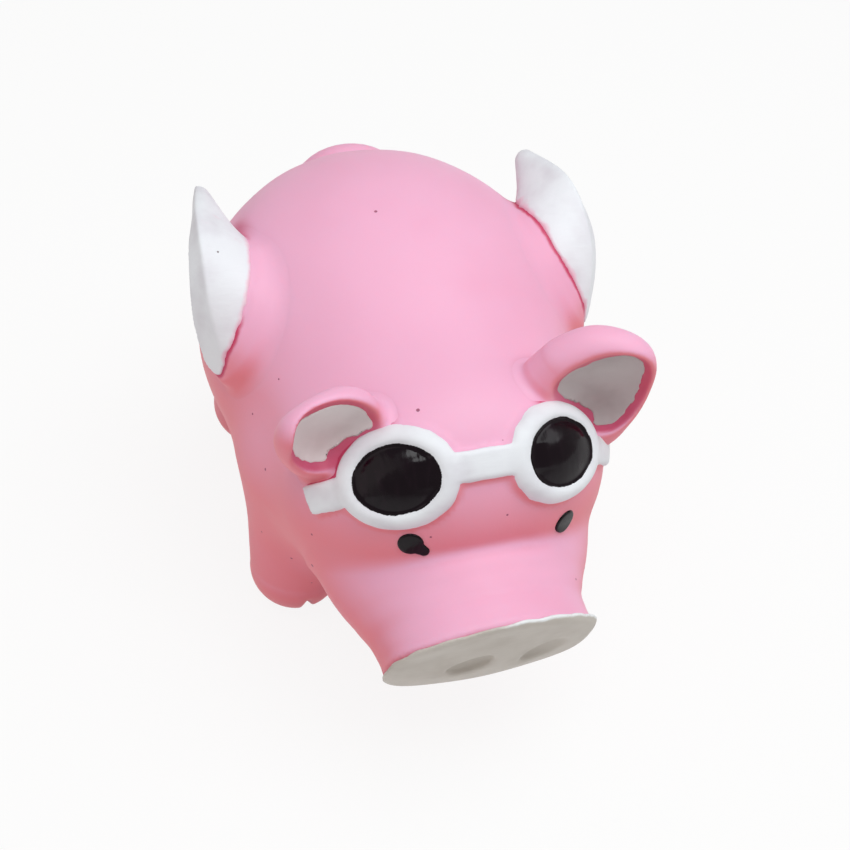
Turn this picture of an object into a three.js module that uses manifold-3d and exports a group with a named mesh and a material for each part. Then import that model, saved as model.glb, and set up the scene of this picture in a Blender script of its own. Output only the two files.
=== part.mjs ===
// Latex pig dog toy: a stuffed latex skin with goggles, flapping ears and wings, and a squeaker in the belly.
// Millimetres, +Z up. The pig looks along -Y, stands on Z = 0, and its left side is +X.
import * as THREE from "three";
import { ConvexGeometry } from "three/addons/geometries/ConvexGeometry.js";
import { mergeVertices } from "three/addons/utils/BufferGeometryUtils.js";
import Module from "manifold-3d";

const wasm = await Module();
wasm.setup();

// Clearance between neighbouring pieces
const GAP = 0.3;

// Trunk
const TRUNK_HALF_WIDTH = 38;
const TRUNK_HALF_LENGTH = 42;
const TRUNK_HALF_HEIGHT = 33.5;
const TRUNK_BACK = 14.8;
const BELLY_HEIGHT = 12;
const SKIN_WALL = 2.4;

// Head, tilted nose down, ahead of the trunk
const HEAD_HALF_WIDTH = 31.5;
const HEAD_HALF_LENGTH = 22.8;
const HEAD_HALF_HEIGHT = 29;
const HEAD_TILT = 20;
const HEAD_SET = 1.8;
const HEAD_DROP = 2.2;

// Neck: it flares from the head's widest ring back to a ring on the trunk, this share of the way to its front
const NECK_TRUNK_SHARE = 0.5;

// Muzzle: a jaw and a waisted snout, measured from the head's centre along its tilted axis
const JAW_HALF_WIDTH = 26.5;
const JAW_HALF_LENGTH = 24;
const JAW_HALF_HEIGHT = 16.5;
const JAW_AHEAD = 11;
const JAW_DROP = 5;
const SNOUT_REACH = 36;
const NOSE_HALF_WIDTH = 19.6;
const NOSE_HALF_HEIGHT = 13.6;
const NOSE_EDGE = 1.4;
const NOSE_SLOPE = 6.8;
const WAIST_HALF_WIDTH = 17.5;
const WAIST_BACK = 12;
const CHEEK_HALF_WIDTH = 25.5;
const CHEEK_BACK = 24;

// Nose disc and nostrils
const NOSE_DISC_THICKNESS = 1.2;
const NOSE_DISC_CROWN = 0.8;
const NOSE_DISC_MARGIN = 0.6;
const NOSTRIL_APART = 12.6;
const NOSTRIL_RADIUS = 3;
const NOSTRIL_DEPTH = 1.1;
const NOSTRIL_UP = 0.6;
const NOSE_CROWN_BELLY = 0.75;

// Legs: thighs set in from the trunk's sides and ends, below its centre, and feet stepped out from them
const THIGH_DROP = 11.5;
const THIGH_SWELL = 2.3;
const THIGH_SWELL_SHARE = 0.6;
const FOOT_RADIUS = 9.5;
const FOOT_FLAT = 0.5;
const FRONT_THIGH_RADIUS = 13.5;
const FRONT_SIDE_INSET = 17;
const FRONT_END_INSET = 18;
const FRONT_FOOT_SPLAY = 3.5;
const FRONT_FOOT_STEP = 3.5;
const REAR_THIGH_RADIUS = 13;
const REAR_SIDE_INSET = 18.5;
const REAR_END_INSET = 22.6;
const REAR_FOOT_SPLAY = 2.5;
const REAR_FOOT_STEP = 1;
const TOE_NOTCH_RADIUS = 1.2;
const TOE_NOTCH_HEIGHT = 7;
const TOE_NOTCH_TURN = 4;

// Ears: the root line runs between two places on the head, given by longitude and latitude
const EAR_INNER_LONGITUDE = 110.6;
const EAR_INNER_LATITUDE = 59.8;
const EAR_LOWER_LONGITUDE = 92.8;
const EAR_LOWER_LATITUDE = 31.6;
const EAR_ROOT_RADIUS = 4.7;
const EAR_TIP_RADIUS = 3.6;
const EAR_CROWN_RADIUS = 4.2;
const EAR_SIDE_RADIUS = 3.8;
const EAR_TIP_REACH = 15.2;
const EAR_TIP_AHEAD = 3;
const EAR_CROWN_REACH = 11.2;
const EAR_CROWN_AHEAD = 0.4;
const EAR_CROWN_INWARD = 5.4;
const EAR_SIDE_REACH = 9.2;
const EAR_SIDE_AHEAD = 1.9;
const EAR_SIDE_OUTWARD = 5.3;
const EAR_HOLLOW_RADIUS = 3.1;
const EAR_HOLLOW_AHEAD = 5.1;
const EAR_HOLLOW_LOW = 4.8;
const EAR_HOLLOW_INWARD = 6.6;
const EAR_HOLLOW_OUTWARD = 4.7;
const EAR_HOLLOW_CROWN = { along: -5.2, reach: 12 };
const EAR_HOLLOW_TIP = { along: -1, reach: 14.6 };
const EAR_HOLLOW_SIDE = { along: 3.3, reach: 10.3 };
const EAR_LINING_THICKNESS = 0.7;
const EAR_BACK_SWING = 25;
const EAR_FRONT_SWING = 12;

// Wings: the root line lies on the trunk, and ribs run from the bowed root to the outer edge, front to tip
const WING_LOWER_LONGITUDE = 69.3;
const WING_LOWER_LATITUDE = 19.3;
const WING_UPPER_LONGITUDE = 91.4;
const WING_UPPER_LATITUDE = 40.4;
const WING_ROOT_RADIUS = 3.6;
const WING_EDGE_RADIUS = 2.2;
const WING_RIBS = [
  { root: { along: -11.3, reach: -0.3, back: 3.5 }, edge: { along: -10.2, reach: 2.3, back: 4.6 } },
  { root: { along: -7.5, reach: -0.6, back: -2.5 }, edge: { along: -3.4, reach: 7.1, back: 2.1 } },
  { root: { along: -0.1, reach: -0.8, back: -5 }, edge: { along: 4.2, reach: 10.2, back: 0.5 } },
  { root: { along: 6.3, reach: -0.8, back: -2 }, edge: { along: 13.8, reach: 9.9, back: 3.2 } },
  { root: { along: 11.2, reach: 1.1, back: 2.3 }, edge: { along: 23.9, reach: 3.4, back: 12.5 } },
];
const WING_SWING = 18;

// Tail: a curl lying on the rump, thick at its root
const TAIL_LONGITUDE = 171;
const TAIL_LATITUDE = -14;
const TAIL_LOOP_RADIUS = 11;
const TAIL_END_RADIUS = 8;
const TAIL_ROOT_THICKNESS = 8.6;
const TAIL_TIP_THICKNESS = 6;
const TAIL_TURN = 268;
const TAIL_STEPS = 10;
const TAIL_SUNK = 1.2;

// Goggles: a band in a plane sloping down to the back through the head's centre
const GOGGLE_SLOPE = 54;
const GOGGLE_APART = 30;
const LENS_HALF_WIDTH = 8.1;
const LENS_HALF_HEIGHT = 6.4;
const LENS_PROUD = 1.2;
const RIM_WIDTH = 2.5;
const RIM_PROUD = 2;
const BAND_HEIGHT = 5.8;
const BAND_PROUD = 1.6;
const STRAP_END = 12.6;
const GOGGLE_DROP = 1.6;

// Eyes
const EYE_LONGITUDE = 33;
const EYE_LATITUDE = 26;
const EYE_RADIUS = 2.3;
const EYE_PROUD = 0.9;

// Squeaker in the belly, measured up from the flange's face
const FLANGE_RADIUS = 10;
const FLANGE_THICKNESS = 1.4;
const FLANGE_INSET = 0.2;
const BARREL_RADIUS = 8;
const BARREL_WALL = 1.2;
const BARREL_FLOOR = 1.6;
const BARREL_HEIGHT = 13;
const AIR_HOLE_RADIUS = 2;
const BELLY_LIP = 1.5;
const COLLAR_RADIUS = 9.2;
const COLLAR_THICKNESS = 1.2;
const REED_BLOCK_HEIGHT = 3;
const REED_LENGTH = 9;
const REED_WIDTH = 3;
const REED_THICKNESS = 0.5;
const REED_POST_HEIGHT = 1;
const REED_POST_DEPTH = 2;
const CAP_THICKNESS = 1.5;
const CAP_HOLE_RADIUS = 0.9;
const CAP_HOLE_RING = 3.6;
const CAP_HOLES = 5;

// Facets round the large forms, round the small ones, and the steps of a swing's clearance
const LARGE_SIDES = 28;
const LARGE_RINGS = 16;
const SMALL_SIDES = 20;
const SMALL_RINGS = 10;
const NOTCH_SIDES = 10;
const CROWN_STEPS = 4;
const FLARE_STEPS = 3;
const BALL_DETAIL = 2;
const SMALL_BALL_DETAIL = 1;
const SWING_STEPS = 3;

// Larger than the toy, for cutting half spaces
const EVERYWHERE = 400;

const rad = THREE.MathUtils.degToRad;
const vec = (x, y, z) => new THREE.Vector3(x, y, z);

/** A solid from a closed geometry, with its shared vertices merged. */
function solid(geometry) {
  const bare = geometry.clone();
  bare.deleteAttribute("normal");
  bare.deleteAttribute("uv");
  const merged = mergeVertices(bare, 1e-5);
  const vertProperties = Float32Array.from(merged.attributes.position.array);
  const triVerts = Uint32Array.from(merged.index.array);
  return new wasm.Manifold(new wasm.Mesh({ numProp: 3, vertProperties, triVerts }));
}

/** The geometry of a solid. */
function geometryOf(body) {
  const mesh = body.getMesh();
  const geometry = new THREE.BufferGeometry();
  geometry.setAttribute("position", new THREE.BufferAttribute(mesh.vertProperties, 3));
  geometry.setIndex(new THREE.BufferAttribute(mesh.triVerts, 1));
  geometry.computeVertexNormals();
  return geometry;
}

/** An ellipsoidal form: its centre, half sizes and nose-down tilt about X. */
function makeForm(centre, radii, tilt) {
  const turn = new THREE.Quaternion().setFromAxisAngle(vec(1, 0, 0), rad(tilt));
  return { centre, radii, turn };
}

/** A form as a solid, grown outwards by a distance. */
function formSolid(form, grow, sides = LARGE_SIDES, rings = LARGE_RINGS) {
  const size = form.radii.clone().addScalar(grow);
  const matrix = new THREE.Matrix4().compose(form.centre, form.turn, size);
  return solid(new THREE.SphereGeometry(1, sides, rings).applyMatrix4(matrix));
}

/** The space inside a form's skin, kept clear of the wall by an inset. */
function inside(form, inset) {
  return formSolid(form, -SKIN_WALL - inset, SMALL_SIDES, SMALL_RINGS);
}

/** A place on a form and its outward normal: longitude 0 looks ahead and grows towards +X. */
function placeOn(form, longitude, latitude, proud = 0) {
  const flat = Math.cos(rad(latitude));
  const unit = vec(
    Math.sin(rad(longitude)) * flat,
    -Math.cos(rad(longitude)) * flat,
    Math.sin(rad(latitude)),
  );
  return surfacePoint(form, unit, proud);
}

/** The surface point of a form for a direction on its unit sphere. */
function surfacePoint(form, unit, proud) {
  const normal = unit.clone().divide(form.radii).applyQuaternion(form.turn).normalize();
  const point = unit.clone().multiply(form.radii).applyQuaternion(form.turn).add(form.centre);
  point.addScaledVector(normal, proud);
  return { point, normal };
}

/** A point mirrored to the other side when side is -1. */
function onSide(point, side) {
  return vec(point.x * side, point.y, point.z);
}

/** Points round a form where a plane cuts it, a share of the way from its centre to its front. */
function ringOn(form, share, grow) {
  const size = form.radii.clone().addScalar(grow);
  const flat = Math.sqrt(1 - share * share);
  const points = [];
  for (let step = 0; step < LARGE_SIDES; step += 1) {
    const angle = (2 * Math.PI * step) / LARGE_SIDES;
    const unit = vec(Math.cos(angle) * flat, -share, Math.sin(angle) * flat);
    points.push(unit.multiply(size).applyQuaternion(form.turn).add(form.centre));
  }
  return points;
}

/** The convex hull of balls, each with a centre and a radius. */
function hull(balls, detail = BALL_DETAIL) {
  const ball = mergeVertices(ballGeometry(detail)).attributes.position;
  const points = [];
  for (const { centre, radius } of balls) {
    for (let i = 0; i < ball.count; i += 1) {
      points.push(new THREE.Vector3().fromBufferAttribute(ball, i).multiplyScalar(radius).add(centre));
    }
  }
  return solid(new ConvexGeometry(points));
}

/** A unit ball with nothing but positions. */
function ballGeometry(detail) {
  const geometry = new THREE.IcosahedronGeometry(1, detail);
  geometry.deleteAttribute("normal");
  geometry.deleteAttribute("uv");
  return geometry;
}

/** Balls turned about an axis line and grown. */
function turned(balls, origin, axis, degrees, grow = 0) {
  return balls.map(({ centre, radius }) => ({
    centre: centre.clone().sub(origin).applyAxisAngle(axis, rad(degrees)).add(origin),
    radius: radius + grow,
  }));
}

/** All solids joined into one. */
function joined(bodies) {
  return bodies.reduce((whole, body) => whole.add(body));
}

/** The space that a flap sweeps between two angles, with the clearance round it. */
function swept(flap, from, to) {
  const bodies = [];
  for (let step = 0; step < SWING_STEPS; step += 1) {
    const degrees = from + ((to - from) * step) / (SWING_STEPS - 1);
    for (const balls of flap.webs) {
      bodies.push(hull(turned(balls, flap.origin, flap.axis, degrees, GAP)));
    }
  }
  return joined(bodies);
}

/** A turned profile of [radius, height] points about Z, placed at a point. */
function lathe(profile, centre, sides = SMALL_SIDES) {
  const points = profile.map(([radius, height]) => new THREE.Vector2(radius, height));
  const geometry = new THREE.LatheGeometry(points, sides);
  geometry.rotateX(Math.PI / 2);
  geometry.translate(centre.x, centre.y, centre.z);
  return solid(geometry);
}

/** A box by its centre and full sizes. */
function box(centre, x, y, z) {
  return solid(new THREE.BoxGeometry(x, y, z).translate(centre.x, centre.y, centre.z));
}

/** An upright rod between two heights above a point. */
function rod(centre, radius, bottom, top, sides = SMALL_SIDES) {
  return lathe([[0, bottom], [radius, bottom], [radius, top], [0, top]], centre, sides);
}

/** An elliptical column along a normal, its height in the plane of the normal and an up direction. */
function column(centre, normal, up, halfWidth, halfHeight, length) {
  const height = up.clone().addScaledVector(normal, -up.dot(normal)).normalize();
  const width = new THREE.Vector3().crossVectors(normal, height);
  const geometry = new THREE.CylinderGeometry(1, 1, 1, SMALL_SIDES);
  geometry.scale(halfWidth, length, halfHeight);
  geometry.applyMatrix4(new THREE.Matrix4().makeBasis(width, normal, height).setPosition(centre));
  return solid(geometry);
}

// Finishes
const finish = (color, roughness) => new THREE.MeshStandardMaterial({ color, roughness, metalness: 0 });
const pinkLatex = () => finish(0xf2a6c6, 0.5);
const whitePaint = () => finish(0xf1efe9, 0.55);
const blackPaint = () => finish(0x14070f, 0.2);
const fibre = () => finish(0xf4f2ec, 0.95);
const whitePlastic = () => finish(0xe9e7df, 0.4);
const amberPlastic = () => finish(0xd8a35a, 0.35);

const pig = new THREE.Group();

/** Adds a named piece to the toy. */
function addPiece(name, body, material) {
  const mesh = new THREE.Mesh(geometryOf(body), material);
  mesh.name = name;
  pig.add(mesh);
}

// The three large forms and the tilted axis of the head
const trunk = makeForm(
  vec(0, TRUNK_BACK, BELLY_HEIGHT + TRUNK_HALF_HEIGHT),
  vec(TRUNK_HALF_WIDTH, TRUNK_HALF_LENGTH, TRUNK_HALF_HEIGHT),
  0,
);
const head = makeForm(
  vec(0, trunk.centre.y - TRUNK_HALF_LENGTH + HEAD_SET, trunk.centre.z - HEAD_DROP),
  vec(HEAD_HALF_WIDTH, HEAD_HALF_LENGTH, HEAD_HALF_HEIGHT),
  HEAD_TILT,
);
const backwards = vec(0, 1, 0).applyQuaternion(head.turn);
const upwards = vec(0, 0, 1).applyQuaternion(head.turn);
const alongHead = (ahead, up) => head.centre.clone()
  .addScaledVector(backwards, -ahead)
  .addScaledVector(upwards, up);
const jaw = makeForm(
  alongHead(JAW_AHEAD, -JAW_DROP),
  vec(JAW_HALF_WIDTH, JAW_HALF_LENGTH, JAW_HALF_HEIGHT),
  HEAD_TILT,
);
const noseCentre = alongHead(SNOUT_REACH, 0);

/** The head with its neck, grown by a distance. */
function headSolid(grow) {
  const neck = new ConvexGeometry([...ringOn(trunk, NECK_TRUNK_SHARE, grow), ...ringOn(head, 0, grow)]);
  return formSolid(head, grow).add(solid(neck));
}

/** The waisted snout, grown by a distance: a nose edge, a waist and a flare into the cheeks. */
function snoutSolid(grow) {
  const flare = new THREE.QuadraticBezierCurve(
    new THREE.Vector2(WAIST_HALF_WIDTH + grow, WAIST_BACK),
    new THREE.Vector2(WAIST_HALF_WIDTH + grow, (WAIST_BACK + CHEEK_BACK) / 2),
    new THREE.Vector2(CHEEK_HALF_WIDTH + grow, CHEEK_BACK),
  );
  const points = [
    new THREE.Vector2(0, -grow),
    new THREE.Vector2(NOSE_HALF_WIDTH - NOSE_EDGE + grow, -grow),
    new THREE.Vector2(NOSE_HALF_WIDTH + grow, NOSE_EDGE),
    ...flare.getPoints(FLARE_STEPS),
    new THREE.Vector2(0, CHEEK_BACK),
  ];
  const geometry = new THREE.LatheGeometry(points, LARGE_SIDES);
  geometry.scale(1, 1, NOSE_HALF_HEIGHT / NOSE_HALF_WIDTH);
  geometry.applyQuaternion(head.turn);
  geometry.translate(noseCentre.x, noseCentre.y, noseCentre.z);
  return solid(geometry);
}

/** The plane of the nose's face: it leans under from the nose's top edge. */
const faceTurn = head.turn.clone().multiply(
  new THREE.Quaternion().setFromAxisAngle(vec(1, 0, 0), rad(NOSE_SLOPE)),
);
const faceAhead = vec(0, -1, 0).applyQuaternion(faceTurn);
const faceUp = vec(0, 0, 1).applyQuaternion(faceTurn);
const faceTop = noseCentre.clone().addScaledVector(upwards, NOSE_HALF_HEIGHT);
const faceHalfHeight = NOSE_HALF_HEIGHT / Math.cos(rad(NOSE_SLOPE));
const faceCentre = faceTop.clone().addScaledVector(faceUp, -faceHalfHeight);

/** Everything ahead of the nose's face, moved ahead by a distance. */
function beforeNose(ahead) {
  const geometry = new THREE.BoxGeometry(EVERYWHERE, EVERYWHERE, EVERYWHERE);
  geometry.translate(0, -EVERYWHERE / 2, 0);
  geometry.applyQuaternion(faceTurn);
  const corner = faceCentre.clone().addScaledVector(faceAhead, ahead);
  geometry.translate(corner.x, corner.y, corner.z);
  return solid(geometry);
}

/** Muzzle outline grown by a distance, ended at the nose's face. */
function muzzleSolid(grow) {
  const both = snoutSolid(grow).add(formSolid(jaw, grow, SMALL_SIDES, SMALL_RINGS));
  return both.subtract(beforeNose(grow));
}

// Flaps: each has webs of balls, and turns about its root line
const SIDES = [["left", 1], ["right", -1]];

/** A flap's own frame: origin on its root line, axis along it, and the normal of the form under it. */
function flapFrame(first, second, form) {
  const origin = first.clone().add(second).multiplyScalar(0.5);
  const axis = second.clone().sub(first).normalize();
  const local = origin.clone().sub(form.centre).applyQuaternion(form.turn.clone().invert());
  const normal = local.divide(form.radii.clone().multiply(form.radii)).applyQuaternion(form.turn).normalize();
  const out = normal.addScaledVector(axis, -normal.dot(axis)).normalize();
  const third = new THREE.Vector3().crossVectors(axis, out);
  const at = (along, reach, across) => origin.clone()
    .addScaledVector(axis, along).addScaledVector(out, reach).addScaledVector(third, across);
  return { origin, axis, at };
}

/** An ear on one side: its outer balls, and the balls of its hollow. */
function earFlap(side) {
  const inner = placeOn(head, EAR_INNER_LONGITUDE, EAR_INNER_LATITUDE).point;
  const lower = placeOn(head, EAR_LOWER_LONGITUDE, EAR_LOWER_LATITUDE).point;
  const frame = flapFrame(inner, lower, head);
  const ball = (along, reach, ahead, radius) => {
    const centre = onSide(frame.at(along, reach, ahead), side);
    return { centre, radius };
  };
  const half = inner.distanceTo(lower) / 2;
  const outer = [
    ball(-half, 0, 0, EAR_ROOT_RADIUS),
    ball(half, 0, 0, EAR_ROOT_RADIUS),
    ball(0, EAR_TIP_REACH, EAR_TIP_AHEAD, EAR_TIP_RADIUS),
    ball(-EAR_CROWN_INWARD, EAR_CROWN_REACH, EAR_CROWN_AHEAD, EAR_CROWN_RADIUS),
    ball(EAR_SIDE_OUTWARD, EAR_SIDE_REACH, EAR_SIDE_AHEAD, EAR_SIDE_RADIUS),
  ];
  const leaf = [
    { along: -EAR_HOLLOW_INWARD, reach: EAR_HOLLOW_LOW },
    { along: EAR_HOLLOW_OUTWARD, reach: EAR_HOLLOW_LOW },
    EAR_HOLLOW_CROWN,
    EAR_HOLLOW_TIP,
    EAR_HOLLOW_SIDE,
  ];
  const hollow = (ahead, shrink) => leaf.map(({ along, reach }) => (
    ball(along, reach, EAR_HOLLOW_AHEAD + ahead, EAR_HOLLOW_RADIUS - shrink)
  ));
  const axis = onSide(frame.axis, side).multiplyScalar(side);
  return { origin: onSide(frame.origin, side), axis, webs: [outer], root: outer.slice(0, 2), hollow };
}

/** A wing on one side: webs of balls between neighbouring ribs. */
function wingFlap(side) {
  const lower = placeOn(trunk, WING_LOWER_LONGITUDE, WING_LOWER_LATITUDE).point;
  const upper = placeOn(trunk, WING_UPPER_LONGITUDE, WING_UPPER_LATITUDE).point;
  const frame = flapFrame(lower, upper, trunk);
  const ball = ({ along, reach, back }, radius) => {
    const centre = onSide(frame.at(along, reach, back), side);
    return { centre, radius };
  };
  const ribs = WING_RIBS.map(({ root, edge }) => [
    ball(root, WING_ROOT_RADIUS),
    ball(edge, WING_EDGE_RADIUS),
  ]);
  const webs = ribs.slice(1).map((rib, i) => [...ribs[i], ...rib]);
  const axis = onSide(frame.axis, side).multiplyScalar(side);
  return { origin: onSide(frame.origin, side), axis, webs, root: ribs.map((rib) => rib[0]) };
}

const ears = SIDES.map(([name, side]) => ({ name, ...earFlap(side) }));
const wings = SIDES.map(([name, side]) => ({ name, ...wingFlap(side) }));
const earSpaces = ears.map((ear) => swept(ear, -EAR_BACK_SWING, EAR_FRONT_SWING));
const wingSpaces = wings.map((wing) => swept(wing, -WING_SWING, WING_SWING));

/** The thick latex that stands inside the skin round a flap's root. */
function rootBoss(flap, grow) {
  return hull(turned(flap.root, flap.origin, flap.axis, 0, GAP + SKIN_WALL + grow));
}

// Tail: a chain of balls in a curl that follows the rump, drawn on the plane that touches it at the root
const tailRoot = placeOn(trunk, TAIL_LONGITUDE, TAIL_LATITUDE);
const tailSide = vec(-1, 0, 0);
const tailUp = new THREE.Vector3().crossVectors(tailRoot.normal, tailSide).normalize();
const tailRootRadius = TAIL_ROOT_THICKNESS / 2;
const tailLift = 2 * GAP;

/** The balls along the tail, from the one in the socket to the tip. */
function tailChain() {
  const plug = tailRoot.point.clone().addScaledVector(tailRoot.normal, GAP);
  const balls = [{ centre: plug, radius: tailRootRadius }];
  for (let step = 0; step <= TAIL_STEPS; step += 1) {
    const share = step / TAIL_STEPS;
    const angle = rad(TAIL_TURN * share);
    const loop = THREE.MathUtils.lerp(TAIL_LOOP_RADIUS, TAIL_END_RADIUS, share);
    const radius = THREE.MathUtils.lerp(TAIL_ROOT_THICKNESS, TAIL_TIP_THICKNESS, share) / 2;
    const flat = tailRoot.point.clone()
      .addScaledVector(tailSide, loop * Math.sin(angle))
      .addScaledVector(tailUp, TAIL_LOOP_RADIUS - loop * Math.cos(angle));
    const unit = flat.sub(trunk.centre).divide(trunk.radii).normalize();
    balls.push({ centre: surfacePoint(trunk, unit, radius + tailLift).point, radius });
  }
  return balls;
}

const tailBalls = tailChain();
const tailLinks = tailBalls.slice(1).map((ball, i) => hull([tailBalls[i], ball], SMALL_BALL_DETAIL));
const tailBody = joined(tailLinks).subtract(formSolid(trunk, -TAIL_SUNK));
const socketRadius = tailRootRadius + tailLift;
const socketDepth = 4 * socketRadius;
const tailSocket = column(tailRoot.point, tailRoot.normal, tailUp, socketRadius, socketRadius, socketDepth)
  .subtract(formSolid(trunk, -TAIL_SUNK - GAP));

// Cavities of the skin, one space through the neck and the cheeks
const wingBosses = (grow) => joined(wings.map((wing) => rootBoss(wing, grow)));
const earBosses = (grow) => joined(ears.map((ear) => rootBoss(ear, grow)));
const trunkCavity = inside(trunk, 0).subtract(wingBosses(0));
const headCavity = inside(head, 0).subtract(earBosses(0));
const muzzleCavity = muzzleSolid(-SKIN_WALL);

// Squeaker seat in the belly
const seat = vec(0, trunk.centre.y, BELLY_HEIGHT + FLANGE_INSET);
const lipBottom = FLANGE_THICKNESS + GAP;
const lipTop = lipBottom + BELLY_LIP;
const collarBottom = lipTop + GAP;
const squeakerHole = lathe(
  [
    [0, -EVERYWHERE / 2],
    [FLANGE_RADIUS + GAP, -EVERYWHERE / 2],
    [FLANGE_RADIUS + GAP, lipBottom],
    [BARREL_RADIUS + GAP, lipBottom],
    [BARREL_RADIUS + GAP, lipTop],
    [COLLAR_RADIUS + GAP, lipTop],
    [COLLAR_RADIUS + GAP, BARREL_HEIGHT],
    [0, BARREL_HEIGHT],
  ],
  seat,
);

// Skins
const trunkSkin = formSolid(trunk, 0)
  .subtract(trunkCavity)
  .subtract(headCavity)
  .subtract(muzzleCavity)
  .subtract(joined(wingSpaces))
  .subtract(tailSocket)
  .subtract(squeakerHole);
const headSkin = headSolid(0)
  .subtract(formSolid(trunk, GAP))
  .subtract(headCavity)
  .subtract(muzzleCavity)
  .subtract(joined(earSpaces));
const muzzleSkin = muzzleSolid(0)
  .subtract(headSolid(GAP))
  .subtract(formSolid(trunk, GAP))
  .subtract(muzzleCavity);
addPiece("trunk_skin", trunkSkin, pinkLatex());
addPiece("head_skin", headSkin, pinkLatex());
addPiece("muzzle_skin", muzzleSkin, pinkLatex());

// Legs
const neighbours = joined([formSolid(trunk, GAP), headSolid(GAP), muzzleSolid(GAP)]);
const underground = box(vec(0, 0, -EVERYWHERE / 2), EVERYWHERE, EVERYWHERE, EVERYWHERE);

/** A leg: a thigh that swells out of the trunk, and a foot with a flat sole and a notch between its toes. */
function leg(thigh, thighRadius, foot) {
  const ankle = vec(foot.x, foot.y, FOOT_RADIUS - FOOT_FLAT);
  const knee = thigh.clone().lerp(ankle, THIGH_SWELL_SHARE);
  const kneeRadius = THREE.MathUtils.lerp(thighRadius, FOOT_RADIUS, THIGH_SWELL_SHARE);
  const shin = hull([{ centre: thigh, radius: thighRadius }, { centre: ankle, radius: FOOT_RADIUS }]);
  const swell = hull([
    { centre: thigh, radius: thighRadius + THIGH_SWELL },
    { centre: knee, radius: kneeRadius },
  ]);
  const limb = shin.add(swell);
  const turn = rad(TOE_NOTCH_TURN);
  const inwards = -Math.sign(foot.x) * FOOT_RADIUS * Math.sin(turn);
  const toe = vec(foot.x + inwards, foot.y - FOOT_RADIUS * Math.cos(turn), 0);
  const notch = rod(toe, TOE_NOTCH_RADIUS, -GAP, TOE_NOTCH_HEIGHT, NOTCH_SIDES);
  return limb.subtract(underground).subtract(neighbours).subtract(notch);
}

const thighHeight = trunk.centre.z - THIGH_DROP;
const frontEnd = trunk.centre.y - TRUNK_HALF_LENGTH;
const rearEnd = trunk.centre.y + TRUNK_HALF_LENGTH;
for (const [name, side] of SIDES) {
  const front = vec(side * (TRUNK_HALF_WIDTH - FRONT_SIDE_INSET), frontEnd + FRONT_END_INSET, thighHeight);
  const rear = vec(side * (TRUNK_HALF_WIDTH - REAR_SIDE_INSET), rearEnd - REAR_END_INSET, thighHeight);
  const frontFoot = front.clone().add(vec(side * FRONT_FOOT_SPLAY, -FRONT_FOOT_STEP, 0));
  const rearFoot = rear.clone().add(vec(side * REAR_FOOT_SPLAY, REAR_FOOT_STEP, 0));
  addPiece(`front_leg_${name}`, leg(front, FRONT_THIGH_RADIUS, frontFoot), pinkLatex());
  addPiece(`rear_leg_${name}`, leg(rear, REAR_THIGH_RADIUS, rearFoot), pinkLatex());
}

// Ears, linings, wings and tail
for (const ear of ears) {
  const outer = hull(ear.webs[0]);
  const hollow = (ahead, shrink) => hull(ear.hollow(ahead, shrink), SMALL_BALL_DETAIL);
  const lining = hollow(0, GAP).subtract(hollow(EAR_LINING_THICKNESS, GAP)).intersect(outer);
  addPiece(`ear_${ear.name}`, outer.subtract(hollow(0, 0)), pinkLatex());
  addPiece(`ear_lining_${ear.name}`, lining, whitePaint());
}
for (const wing of wings) {
  addPiece(`wing_${wing.name}`, joined(wing.webs.map((balls) => hull(balls))), whitePaint());
}
addPiece("tail", tailBody, pinkLatex());

// Goggles
const bandUp = vec(0, Math.sin(rad(GOGGLE_SLOPE)), Math.cos(rad(GOGGLE_SLOPE)));
const bandAhead = vec(0, -Math.cos(rad(GOGGLE_SLOPE)), Math.sin(rad(GOGGLE_SLOPE)));
const bandCentre = head.centre.clone().addScaledVector(bandUp, -GOGGLE_DROP);

/** The place on the head where the band's centre line passes a distance to the side. */
function onBand(x) {
  const inverse = head.turn.clone().invert();
  const offset = bandCentre.clone().add(vec(x, 0, 0)).sub(head.centre);
  const start = offset.applyQuaternion(inverse).divide(head.radii);
  const step = bandAhead.clone().applyQuaternion(inverse).divide(head.radii);
  const a = step.lengthSq();
  const b = start.dot(step);
  const c = start.lengthSq() - 1;
  const reach = (Math.sqrt(b * b - a * c) - b) / a;
  return surfacePoint(head, start.addScaledVector(step, reach).normalize(), 0);
}

/** A skin-tight layer over the head, from the clearance up to its face. */
function layer(proud) {
  return formSolid(head, proud).subtract(formSolid(head, GAP));
}

/** A slab of the band's height between two distances to the side, starting ahead of the head's centre. */
function bandSlab(from, to, ahead) {
  const geometry = new THREE.BoxGeometry(Math.abs(to - from), EVERYWHERE, BAND_HEIGHT);
  geometry.translate((from + to) / 2, -EVERYWHERE / 2, 0);
  geometry.applyQuaternion(new THREE.Quaternion().setFromUnitVectors(vec(0, -1, 0), bandAhead));
  const start = bandCentre.clone().addScaledVector(bandAhead, ahead);
  geometry.translate(start.x, start.y, start.z);
  return solid(geometry);
}

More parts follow.
